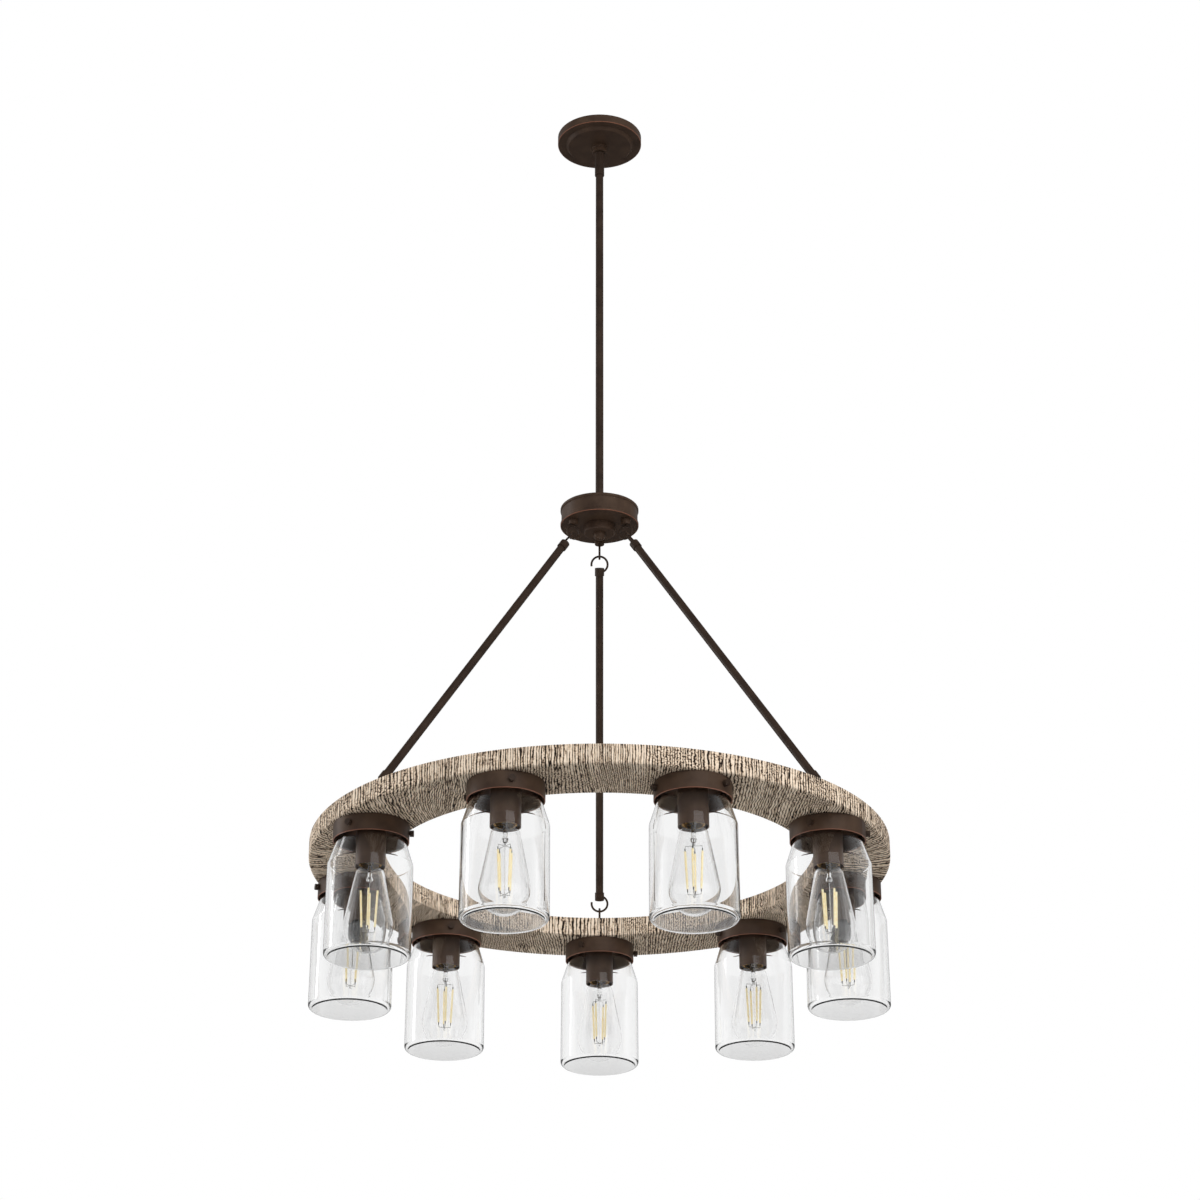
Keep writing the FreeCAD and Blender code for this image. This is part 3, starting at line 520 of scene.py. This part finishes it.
def rounded(corners: Sequence[tuple[float, float, float]], steps: int) -> Outline:
    """Round the corners of an outline.

    Args:
        corners: Radius, depth and rounding of each corner; 0 keeps it sharp.
        steps: Pieces that each rounding is drawn with.

    Returns:
        Radius and depth of each point of the rounded outline.
    """
    points: Outline = []
    for index, (radius, depth, rounding) in enumerate(corners):
        if not rounding or index in (0, len(corners) - 1):
            points.append((radius, depth))
            continue
        corner = Vector((radius, depth))
        before = (Vector(corners[index - 1][:2]) - corner).normalized()
        after = (Vector(corners[index + 1][:2]) - corner).normalized()
        half = before.angle(after) / 2
        start = corner + before * rounding / math.tan(half)
        end = corner + after * rounding / math.tan(half)
        centre = corner + (before + after).normalized() * rounding / math.sin(half)
        for step in range(steps + 1):
            towards = (start - centre).lerp(end - centre, step / steps).normalized()
            place = centre + towards * rounding
            points.append((place.x, place.y))
    return points


@dataclass
class Draft:
    """Points and faces gathered for one mesh, in millimetres."""

    points: list[tuple[float, float, float]] = field(default_factory=list)
    faces: list[tuple[int, ...]] = field(default_factory=list)
    finishes: list[int] = field(default_factory=list)

    def turn(self, outline: Outline, steps: int, finish: int = 0, closed: bool = False) -> None:
        """Turn an outline about the vertical axis.

        Args:
            outline: Radius and depth of each point; a radius of 0 makes a point on the axis.
            steps: Number of steps round the axis.
            finish: Material number of the faces.
            closed: Whether the last point joins the first.
        """
        rows: list[list[int]] = []
        for radius, depth in outline:
            if radius < ON_AXIS:
                rows.append([len(self.points)] * steps)
                self.points.append((0.0, 0.0, -depth))
                continue
            rows.append(list(range(len(self.points), len(self.points) + steps)))
            for step in range(steps):
                angle = math.tau * step / steps
                self.points.append((radius * math.sin(angle), radius * math.cos(angle), -depth))
        pairs = list(zip(rows, rows[1:]))
        if closed:
            pairs.append((rows[-1], rows[0]))
        for upper, lower in pairs:
            for step in range(steps):
                after = (step + 1) % steps
                loop = (upper[after], lower[after], lower[step], upper[step])
                face = tuple(dict.fromkeys(loop))
                if len(face) > 2:
                    self.faces.append(face)
                    self.finishes.append(finish)

    def rod(
        self,
        path: Sequence[Vector],
        radii: Sequence[float],
        sides: int,
        finish: int = 0,
    ) -> None:
        """Draw a round rod along a path, closed at both ends.

        Args:
            path: Points of the middle line.
            radii: Radius at each point.
            sides: Number of sides.
            finish: Material number of the faces.
        """
        rings: list[list[int]] = []
        side = (path[1] - path[0]).orthogonal().normalized()
        for index, centre in enumerate(path):
            along = path[min(index + 1, len(path) - 1)] - path[max(index - 1, 0)]
            side = (side - along * side.dot(along) / along.length_squared).normalized()
            other = along.normalized().cross(side)
            rings.append(list(range(len(self.points), len(self.points) + sides)))
            for step in range(sides):
                angle = math.tau * step / sides
                place = centre + (side * math.cos(angle) + other * math.sin(angle)) * radii[index]
                self.points.append(tuple(place))
        for start, end in zip(rings, rings[1:]):
            for step in range(sides):
                after = (step + 1) % sides
                self.faces.append((start[step], start[after], end[after], end[step]))
                self.finishes.append(finish)
        for ring in (tuple(reversed(rings[0])), tuple(rings[-1])):
            self.faces.append(ring)
            self.finishes.append(finish)

    def mesh(self, name: str, finishes: Sequence[Finish], crease: float) -> Mesh:
        """Make the mesh.

        Args:
            name: Name of the mesh.
            finishes: Finishes, in the order of the material numbers.
            crease: Angle in degrees above which an edge stays sharp.

        Returns:
            The mesh, in metres.
        """
        mesh = bpy.data.meshes.new(name)
        places = [tuple(value * MILLIMETRE for value in point) for point in self.points]
        mesh.from_pydata(places, [], self.faces)
        mesh.polygons.foreach_set("material_index", self.finishes)
        for finish in finishes:
            mesh.materials.append(finish.material())
        mesh.shade_smooth()
        mesh.set_sharp_from_angle(angle=math.radians(crease))
        mesh.update()
        return mesh


def place_piece(
    name: str,
    mesh: Mesh,
    body: str,
    replaced: Sequence[str] = (),
    at: Vector | None = None,
    bearing: float = 0.0,
) -> None:
    """Put a mesh in the scene as a piece that rides on a body.

    Args:
        name: Name of the piece.
        mesh: Its mesh.
        body: CAD body that it moves with.
        replaced: CAD nodes that it stands for.
        at: Place of its origin.
        bearing: Turn about the vertical axis, in degrees.
    """
    piece = bpy.data.objects.new(name, mesh)
    bpy.context.scene.collection.objects.link(piece)
    piece.location = at or Vector()
    piece.rotation_euler = (0.0, 0.0, -math.radians(bearing))
    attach(piece, body)
    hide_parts(*replaced)


def dress(finish: Finish, *nodes: str) -> int:
    """Give CAD nodes a finish.

    Args:
        finish: The finish.
        nodes: Names of the nodes.

    Returns:
        Number of nodes.
    """
    for node in nodes:
        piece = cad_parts[node]
        if not piece.material_slots:
            piece.data.materials.append(finish.material())
        for material_slot in piece.material_slots:
            material_slot.material = finish.material()
    return len(nodes)


# Sub-assemblies


@dataclass
class CeilingMount:
    """Canopy, the strap above it and the swivel that the stem hangs from."""

    shell: Finish = CANOPY_BRONZE
    swivel: Finish = BRONZE
    strap: Finish = ZINC
    liner: Finish = NYLON

    def build(self) -> int:
        """Dress the mount.

        Returns:
            Number of pieces.
        """
        return (dress(self.shell, "canopy", "canopy_collar")
                + dress(self.swivel, "swivel_housing", "swivel_plug")
                + dress(self.strap, "ceiling_crossbar", "crossbar_nipple", "crossbar_nut")
                + dress(self.liner, "swivel_liner"))


@dataclass
class StemAndHub:
    """Stem, its sleeve, the swivel ball and the drum that carries the arms."""

    stem: Finish = ROD_BRONZE
    drum: Finish = HUB_BRONZE
    trim: Finish = BRONZE
    inside: Finish = ZINC

    def build(self) -> int:
        """Dress the stem and the hub.

        Returns:
            Number of pieces.
        """
        return (dress(self.trim, "swivel_ball", "hub_boss", "hub_finial", "hub_eye_collars")
                + dress(self.stem, "stem_sleeve", "stem_rod", "hub_eye_bolts")
                + dress(self.drum, "hub_housing", "hub_cover")
                + dress(self.inside, "hub_nipple", "hub_nipple_nuts", "hub_eye_nuts"))


@dataclass
class Arms:
    """Three rods with a capped hook at either end."""

    count: int = 3
    rods: Finish = ROD_BRONZE

    def build(self) -> int:
        """Dress the arms.

        Returns:
            Number of pieces.
        """
        return sum(dress(self.rods, f"arm_rod_{number}", f"arm_hook_top_{number}",
                         f"arm_hook_bottom_{number}") for number in range(1, self.count + 1))


@dataclass
class BarnwoodRing:
    """The wooden ring: a flat board with worn ridges across it, and its hardware on top."""

    top: float = 1152.0
    thickness: float = 26.5
    radius: float = 392.8
    hole_radius: float = 289.2
    outer_edge: float = 3.5
    crease: float = 1.2
    ridge_pitch: float = 3.8
    ridge_depth: float = 0.9
    ridge_steps: int = 7
    side_crowding: float = 0.45
    crest_gap: float = 0.12
    side_bend: float = 0.35
    waver: float = 0.05
    unevenness: float = 0.13
    jitter: float = 0.3
    shallowest: float = 0.35
    groove_shape: float = 0.7
    roughness: float = 0.22
    pitting: float = 0.4
    board_step: float = 26.0
    edge_steps: int = 4
    seed: int = 7

    def outline(self) -> tuple[np.ndarray, np.ndarray]:
        """Draw the cross-section of the board.

        Returns:
            Points (radius, depth) round the section, and the inward direction at each.
        """
        middle = (self.radius + self.hole_radius) / 2
        bottom = self.top + self.thickness
        corners = [
            (middle, self.top, 0.0), (self.radius, self.top, self.crease),
            (self.radius, bottom, self.outer_edge), (self.hole_radius, bottom, self.crease),
            (self.hole_radius, self.top, self.crease), (middle, self.top, 0.0),
        ]
        drawn = rounded(corners, self.edge_steps)[:-1]
        runs = []
        for start, end in zip(drawn, drawn[1:] + drawn[:1]):
            pieces = max(1, round(math.dist(start, end) / self.board_step))
            runs.append(np.linspace(start, end, pieces, endpoint=False))
        section = np.concatenate(runs)
        along = np.roll(section, -1, axis=0) - np.roll(section, 1, axis=0)
        inward = np.stack([-along[:, 1], along[:, 0]], axis=1)
        inward /= np.linalg.norm(inward, axis=1, keepdims=True)
        return section, inward

    def ridges(self, rng: np.random.Generator) -> np.ndarray:
        """Share out the rim into ridges of uneven width.

        Args:
            rng: Seeded source of the unevenness.

        Returns:
            Distance along the outer rim of each groove, in millimetres.
        """
        turn = np.linspace(0.0, math.tau, 8192)
        crowding = np.hypot(np.cos(turn), self.side_crowding)
        for waves in (5, 11, 23):
            crowding *= 1.0 + self.unevenness * np.sin(waves * turn + rng.uniform(0, math.tau))
        passed = np.cumsum(crowding) - crowding[0]
        count = round(math.tau * self.radius * crowding.mean() / self.ridge_pitch)
        steps = np.arange(count + 1.0)
        steps[1:-1] += rng.uniform(-self.jitter, self.jitter, count - 1)
        return np.interp(steps / count, passed / passed[-1], turn * self.radius)

    def number(self, turn: np.ndarray, radius: np.ndarray, grooves: np.ndarray) -> np.ndarray:
        """Number the ridges, which run down the rim and then nearly straight across the board.

        Args:
            turn: Bearings of the places, in radians.
            radius: Their distances from the axis, in millimetres.
            grooves: Distance along the outer rim of each groove.

        Returns:
            Ridge number of each place, with its share of the ridge behind the point.
        """
        bent = np.cos(turn) ** 2 + self.side_bend * np.sin(turn) ** 4
        across = np.sin(turn) * np.cos(turn) / bent
        waver = self.waver * (np.sin(5 * turn + 1.0) + np.sin(13 * turn + 2.0))
        met = turn - (across + waver) * (1.0 - radius / self.radius)
        whole = np.floor(met / math.tau)
        rim = (met - whole * math.tau) * self.radius
        return np.interp(rim, grooves, np.arange(len(grooves))) + whole * (len(grooves) - 1)

    def build(self) -> int:
        """Build the board, and dress its hardware.

        Returns:
            Number of pieces.
        """
        rng = np.random.default_rng(self.seed)
        section, inward = self.outline()
        grooves = self.ridges(rng)
        ridges = len(grooves) - 1
        columns = ridges * self.ridge_steps
        turn = np.arange(columns + 1) * math.tau / columns
        number = self.number(turn[:, None], section[None, :, 0], grooves)
        tooth = np.abs(np.sin(np.pi * number[:-1]))
        depths = rng.uniform(self.shallowest, 1.0, ridges)
        rough = rng.uniform(0.0, self.roughness, tooth.shape)
        carved = (1.0 - tooth ** self.groove_shape) * (0.75 + rough)
        carved *= depths[np.floor(number[:-1]).astype(int) % ridges] * np.abs(inward[None, :, 0])
        sunk = self.ridge_depth * carved + self.pitting * rough + self.crest_gap
        radius = section[None, :, 0] + inward[None, :, 0] * sunk
        height = section[None, :, 1] + inward[None, :, 1] * sunk
        angle = turn[:-1, None]
        points = np.stack([radius * np.sin(angle), radius * np.cos(angle), -height], axis=-1)
        mesh = self.mesh(points * MILLIMETRE, number, section)
        place_piece("barnwood_ring", mesh, "wheel", ["wheel_ring"])
        return (1 + dress(ZINC, "light_studs", "ring_washers", "light_nuts")
                + dress(BRONZE, "ring_eye_collars") + dress(ROD_BRONZE, "ring_eye_bolts"))

    def mesh(self, points: np.ndarray, number: np.ndarray, section: np.ndarray) -> Mesh:
        """Join the points into a closed mesh that knows where each ridge runs.

        Args:
            points: Places, by column round the ring and by point of the section.
            number: Ridge numbers, likewise, with the first column again at the end.
            section: Points (radius, depth) of the section.

        Returns:
            The mesh, with the ridge number and the distance across as its map.
        """
        columns, rows = points.shape[:2]
        run = np.linalg.norm(np.diff(np.vstack([section, section[:1]]), axis=0), axis=1)
        across = np.concatenate([[0.0], np.cumsum(run)])
        here = np.repeat(np.arange(columns), rows)
        row = np.tile(np.arange(rows), columns)
        after, below = (here + 1) % columns, (row + 1) % rows
        faces = np.stack([after * rows + row, after * rows + below,
                          here * rows + below, here * rows + row], axis=1)
        mesh = bpy.data.meshes.new("barnwood_ring")
        mesh.from_pydata(points.reshape(-1, 3).tolist(), [], faces.tolist())
        ridge = np.stack([number[here + 1, row], number[here + 1, below],
                          number[here, below], number[here, row]], axis=1)
        reach = np.stack([across[row], across[row + 1], across[row + 1], across[row]], axis=1)
        grain = mesh.uv_layers.new(name=BARNWOOD.grain_map)
        grain.data.foreach_set("uv", np.stack([ridge, reach], axis=-1).astype(np.float32).ravel())
        mesh.materials.append(BARNWOOD.material())
        mesh.shade_smooth()
        mesh.update()
        return mesh


@dataclass
class Lights:
    """What the nine lights share: holders, thumb screws, socket cups and what is inside."""

    holder: Finish = HOLDER_BRONZE
    cup: Finish = BRONZE
    screw: Finish = ROD_BRONZE
    insulator: Finish = PHENOLIC
    contact: Finish = BRASS

    def build(self) -> int:
        """Dress the holders and sockets.

        Returns:
            Number of pieces.
        """
        return (dress(self.holder, "jar_holders") + dress(self.cup, "socket_cups")
                + dress(self.screw, "thumb_screws") + dress(self.insulator, "lampholders")
                + dress(self.contact, "lampholder_shells", "bulb_bases"))


@dataclass
class GlassJars:
    """Nine clear jars with a straight neck, a sloped shoulder and a flat floor."""

    top: float = 1183.0
    height: float = 175.6
    neck_radius: float = 45.0
    neck_height: float = 18.0
    shoulder_radius: float = 55.6
    shoulder_height: float = 33.0
    radius: float = 56.19
    wall: float = 2.5
    corner: float = 7.0
    inner_corner: float = 3.5
    neck_round: float = 3.0
    shoulder_round: float = 5.0
    lip: float = 1.6
    steps: int = 160

    def side(self, inset: float, corner: float) -> Outline:
        """Draw one side of the wall, from the mouth down to the middle of the floor.

        Args:
            inset: Distance from the outside of the glass.
            corner: Rounding where the wall meets the floor.

        Returns:
            The outline.
        """
        neck = self.top + self.neck_height
        end = self.top + self.height - inset
        return rounded([
            (self.neck_radius - self.wall / 2, self.top, 0.0),
            (self.neck_radius - inset, self.top, self.lip),
            (self.neck_radius - inset, neck, self.neck_round),
            (self.shoulder_radius - inset, neck + self.shoulder_height, self.shoulder_round),
            (self.radius - inset, end, corner),
            (0.0, end, 0.0),
        ], ROUNDING_STEPS)

    def build(self) -> int:
        """Build the jars.

        Returns:
            Number of pieces.
        """
        draft = Draft()
        inside = self.side(self.wall, self.inner_corner)
        draft.turn(self.side(0.0, self.corner) + inside[:0:-1], self.steps, closed=True)
        mesh = draft.mesh("glass_jar", [JAR_GLASS], crease=60.0)
        for number, bearing in enumerate(LIGHT_BEARINGS, start=1):
            place_piece(f"glass_jar_{number}", mesh, f"jar_{number}",
                        [f"jar_{number}"], spot(bearing, LIGHT_REACH))
        return len(LIGHT_BEARINGS)


@dataclass
class FilamentBulbs:
    """Nine tapered bulbs, each with a glass mount and four filaments."""

    tip: float = 1349.0
    radius: float = 32.4
    taper_radius: float = 18.5
    taper: float = 1243.0
    neck_radius: float = 12.4
    base_end: float = 1234.2
    neck_top: float = 1226.2
    glass: float = 0.8
    mount_end: float = 1253.2
    mount_radius: float = 3.2
    bead_radius: float = 4.3
    filament_radius: float = 1.4
    filament_top: float = 1264.5
    filament_length: float = 56.0
    top_reach: float = 11.0
    bottom_reach: float = 8.5
    filament_turn: float = 30.0
    cap_length: float = 3.4
    lead_radius: float = 0.3
    pin: float = 3.2
    lead_drop: float = 8.0
    support_radius: float = 0.6
    foot_radius: float = 1.7
    neck_round: float = 5.0
    taper_round: float = 9.0
    steps: int = 96
    tip_steps: int = 26
    mount_steps: int = 32
    foot_steps: int = 20
    strip_sides: int = 16
    support_sides: int = 12
    cap_sides: int = 10
    lead_sides: int = 8

    def envelope(self, inset: float) -> Outline:
        """Draw half the envelope from the neck to the tip, drawn in by an inset.

        Args:
            inset: Distance from the outside of the glass.

        Returns:
            The outline.
        """
        radius, shoulder = self.radius - inset, self.taper_radius - inset
        neck = self.neck_radius - inset
        centre = self.tip - self.radius
        rise = centre - self.taper
        lean = math.asin(radius / math.hypot(shoulder, rise)) - math.atan(shoulder / rise)
        tangent = (radius * math.cos(lean), centre - radius * math.sin(lean))
        side = rounded([(neck, self.neck_top, 0.0), (neck, self.base_end + 1.0, self.neck_round),
                        (shoulder, self.taper, self.taper_round), (*tangent, 0.0)],
                       ROUNDING_STEPS)
        ball = []
        for step in range(1, self.tip_steps):
            angle = -lean + (math.pi / 2 + lean) * step / self.tip_steps
            ball.append((radius * math.cos(angle), centre + radius * math.sin(angle)))
        return side + ball + [(0.0, centre + radius)]

    def mount(self, draft: Draft) -> None:
        """Draw the glass mount with its bead.

        Args:
            draft: Draft that gets it.
        """
        flare = self.neck_radius - self.glass - 0.1
        bead = [(self.bead_radius * math.sin(angle), self.mount_end
                 - self.bead_radius * math.cos(angle))
                for angle in np.linspace(math.pi * 0.22, math.pi, 12)[:-1]]
        draft.turn([(0.0, self.neck_top), (flare, self.neck_top),
                    (flare, self.neck_top + self.glass),
                    (0.55 * flare, self.neck_top + 3.5),
                    (self.mount_radius, self.neck_top + 8.0),
                    (self.mount_radius * 0.9, self.mount_end - 2 * self.bead_radius),
                    *bead, (0.0, self.mount_end + self.bead_radius)],
                   self.mount_steps, BulbPart.GLASS)
        foot = self.filament_top + self.filament_length + self.lead_drop
        draft.rod([Vector((0.0, 0.0, -self.mount_end)), Vector((0.0, 0.0, -foot))],
                  [self.support_radius] * 2, self.support_sides, BulbPart.GLASS)
        draft.turn([(self.foot_radius * math.sin(angle), foot - self.foot_radius
                     * (1.0 + math.cos(angle))) for angle in np.linspace(0.0, math.pi, 9)],
                   self.foot_steps, BulbPart.GLASS)

    def filament(self, draft: Draft, bearing: float) -> None:
        """Draw one filament with its metal ends and its leads.

        Args:
            draft: Draft that gets it.
            bearing: Side of the bulb's axis that it is on, in degrees.
        """
        end = self.filament_top + self.filament_length
        bar = self.filament_top - self.pin
        places = [spot(bearing, reach, depth) / MILLIMETRE for reach, depth in (
            (2.0, self.mount_end - 1.0), (1.0, bar), (self.top_reach - 0.4, bar),
            (self.top_reach, self.filament_top), (self.bottom_reach, end),
            (self.bottom_reach, end + self.pin), (0.4, end + 1.3 * self.pin))]
        upper_lead, lower_lead = places[:4], places[4:]
        top, bottom = upper_lead[-1], lower_lead[0]
        along = (bottom - top).normalized()
        radius = self.filament_radius
        upper, lower = top + along * self.cap_length, bottom - along * self.cap_length
        draft.rod([upper, upper + along * 0.5, lower - along * 0.5, lower],
                  [0.7 * radius, radius, radius, 0.7 * radius], self.strip_sides, BulbPart.STRIP)
        for cap in ([top, upper], [lower, bottom]):
            draft.rod(cap, [0.5 * radius] * 2, self.cap_sides, BulbPart.WIRE)
        for lead in (upper_lead, lower_lead):
            draft.rod(lead, [self.lead_radius] * len(lead), self.lead_sides, BulbPart.WIRE)

    def build(self) -> int:
        """Build the bulbs.

        Returns:
            Number of pieces.
        """
        shell = Draft()
        inside = self.envelope(self.glass)
        shell.turn(self.envelope(0.0) + inside[::-1], self.steps, closed=True)
        envelope = shell.mesh("bulb_envelope", [BULB_GLASS], crease=60.0)
        works = Draft()
        self.mount(works)
        for quarter in range(4):
            self.filament(works, self.filament_turn + 90 * quarter)
        inner = works.mesh("bulb_works", [PHOSPHOR, LEAD_WIRE, BULB_GLASS], crease=40.0)
        for number, bearing in enumerate(LIGHT_BEARINGS, start=1):
            at = spot(bearing, LIGHT_REACH)
            place_piece(f"bulb_envelope_{number}", envelope, "wheel",
                        [f"bulb_glass_{number}"], at, bearing)
            place_piece(f"bulb_works_{number}", inner, "wheel",
                        ["bulb_filaments"], at, bearing)
        return 2 * len(LIGHT_BEARINGS)


@dataclass
class Studio:
    """Camera, lamps, pale floor and white surroundings, with the camera's place in metres."""

    focal_pixels: float = 2824.06
    image_pixels: float = 1200.0
    camera_place: tuple[float, float, float] = (0.0007, -3.62955, -2.44597)
    camera_rise: float = 24.69
    floor_depth: float = 5000.0
    floor_reach: float = 3000.0
    floor_steps: int = 64

    def camera(self) -> None:
        """Make the camera, at the place and angle that the photograph was taken from."""
        lens = bpy.data.cameras.new("camera")
        lens.lens = self.focal_pixels * lens.sensor_width / self.image_pixels
        view = bpy.data.objects.new("camera", lens)
        view.location = self.camera_place
        view.rotation_euler = (math.radians(90 + self.camera_rise), 0.0, 0.0)
        bpy.context.scene.collection.objects.link(view)
        bpy.context.scene.camera = view

    def softbox(
        self,
        name: str,
        at: tuple[float, float, float],
        size: tuple[float, float],
        radiance: float,
        aim: tuple[float, float, float] = (0.0, 0.0, -1.0),
        roll: float = 0.0,
        mirrored: bool = True,
    ) -> None:
        """Hang a rectangular softbox that faces the object.

        Args:
            name: Name of the lamp.
            at: Its place, in metres.
            size: Its width and height, in metres.
            radiance: Brightness of its face, where 1 is white.
            aim: Point that it faces.
            roll: Turn of the box about the way it faces, in degrees.
            mirrored: Whether it shows in glass and metal.
        """
        lamp = bpy.data.lights.new(name, "AREA")
        lamp.shape = "RECTANGLE"
        lamp.size, lamp.size_y = size
        lamp.energy = radiance * math.pi * size[0] * size[1]
        box = bpy.data.objects.new(name, lamp)
        box.location = at
        box.rotation_euler = (Vector(aim) - Vector(at)).to_track_quat("-Z", "Y").to_euler()
        box.rotation_euler.rotate_axis("Z", math.radians(roll))
        box.visible_glossy = mirrored
        box.visible_camera = False
        box.visible_transmission = False
        bpy.context.scene.collection.objects.link(box)

    def surroundings(self) -> None:
        """Make the white surroundings, which light the object at a plain level."""
        world = bpy.data.worlds.new("white_studio")
        world.use_nodes = True
        bpy.context.scene.world = world
        tree = world.node_tree
        path = add_node(tree, "LightPath").outputs
        view = add_node(tree, "TexCoord").outputs["Generated"]
        way = add_node(tree, "SeparateXYZ", {"Vector": view}).outputs
        wall, above, below, room, high = (
            add_node(tree, "MapRange", {"Value": way[axis], "From Min": low, "From Max": top,
                                        "To Min": start, "To Max": end},
                     interpolation_type="SMOOTHSTEP")
            for axis, low, top, start, end in (
                ("Y", 0.2, 0.8, 0.0, 0.3), ("Z", -0.15, 0.25, 0.0, 1.0),
                ("Z", -0.8, 0.1, 0.1, 1.05), ("Y", -0.4, 0.1, -0.92, 0.0),
                ("Z", 0.05, 0.25, 0.0, 1.0)))
        backdrop = add_node(tree, "Math", {0: wall, 1: above, 2: 0.08}, operation="MULTIPLY_ADD")
        shading = add_node(tree, "ValToRGB", {"Fac": way["Z"]},
                           ((0.0, "#ffffff"), (0.4, "#fafafa"), (0.8, "#a8a8a8")))
        around = add_node(tree, "Math", {0: below, 1: shading}, operation="MULTIPLY")
        clear = add_node(tree, "Math", {0: room, 1: high, 2: 1.0}, operation="MULTIPLY_ADD")
        level = around
        for ray, seen in (("Is Glossy Ray", backdrop), ("Is Transmission Ray", clear),
                          ("Is Camera Ray", 1.0)):
            level = add_node(tree, "Mix", {0: path[ray], 2: level, 3: seen}, data_type="FLOAT")
        feed(tree.nodes["Background"], {"Color": linear("#ffffff"), "Strength": level})

    def floor(self) -> None:
        """Lay the pale floor, far below the lights."""
        draft = Draft()
        draft.turn([(self.floor_reach, self.floor_depth), (0.0, self.floor_depth)],
                   self.floor_steps)
        mesh = draft.mesh("studio_floor", [STUDIO_FLOOR], crease=30.0)
        plane = bpy.data.objects.new("studio_floor", mesh)
        bpy.context.scene.collection.objects.link(plane)

    def build(self) -> int:
        """Set up the studio.

        Returns:
            Number of lamps.
        """
        self.surroundings()
        self.floor()
        self.softbox("softbox_right", (1.9, -2.3, 0.0), (3.6, 2.4), 1.3, mirrored=False)
        self.softbox("band_right", (1.62, -3.6, -0.2), (3.2, 0.7), 1.5,
                     aim=(1.62, 0.0, -0.2), roll=-7.0)
        self.softbox("strip_left", (-2.6, 0.5, -0.4), (0.45, 2.4), 4.5)
        bpy.context.scene.view_settings.view_transform = "Standard"
        return 3


@dataclass(frozen=True)
class PaleFloor(Finish):
    """White studio floor paint, which shows white and still takes the object's shadow."""

    pale: str = "#f4f4f2"
    scuffed: str = "#eeeeec"
    scuff: float = 600.0
    lift: float = 0.45

    def paint(self, coat: Coat) -> None:
        """Fill in the shader: matt white, lifted to white where the camera sees it.

        Args:
            coat: Material to fill in.
        """
        tree = coat.tree
        scuffs = add_node(tree, "TexNoise", {"Vector": coat.place,
                                             "Scale": per_metre(self.scuff)})
        colour = add_node(tree, "ValToRGB", {"Fac": scuffs},
                          ((0.3, self.scuffed), (0.7, self.pale)))
        path = add_node(tree, "LightPath").outputs
        seen = add_node(tree, "Math", {0: path["Is Camera Ray"], 1: path["Is Transmission Ray"]},
                        operation="MAXIMUM")
        lifted = add_node(tree, "Math", {0: seen, 1: self.lift}, operation="MULTIPLY")
        feed(coat.shader, {"Base Color": colour, "Roughness": 0.9, "Emission Strength": lifted,
                           "Emission Color": linear("#ffffff")})


STUDIO_FLOOR = PaleFloor("white_floor_paint")


def main() -> None:
    """Build the camera, the chandelier and the studio, and report each."""
    logging.basicConfig(level=logging.INFO, format="%(message)s")
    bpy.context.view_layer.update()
    studio = Studio()
    studio.camera()
    assemblies = (CeilingMount(), StemAndHub(), Arms(), BarnwoodRing(), Lights(), GlassJars(),
                  FilamentBulbs(), studio)
    for assembly in assemblies:
        count = assembly.build()
        LOG.info("%s: %d pieces", type(assembly).__name__, count)


if __name__ == "__main__":
    main()
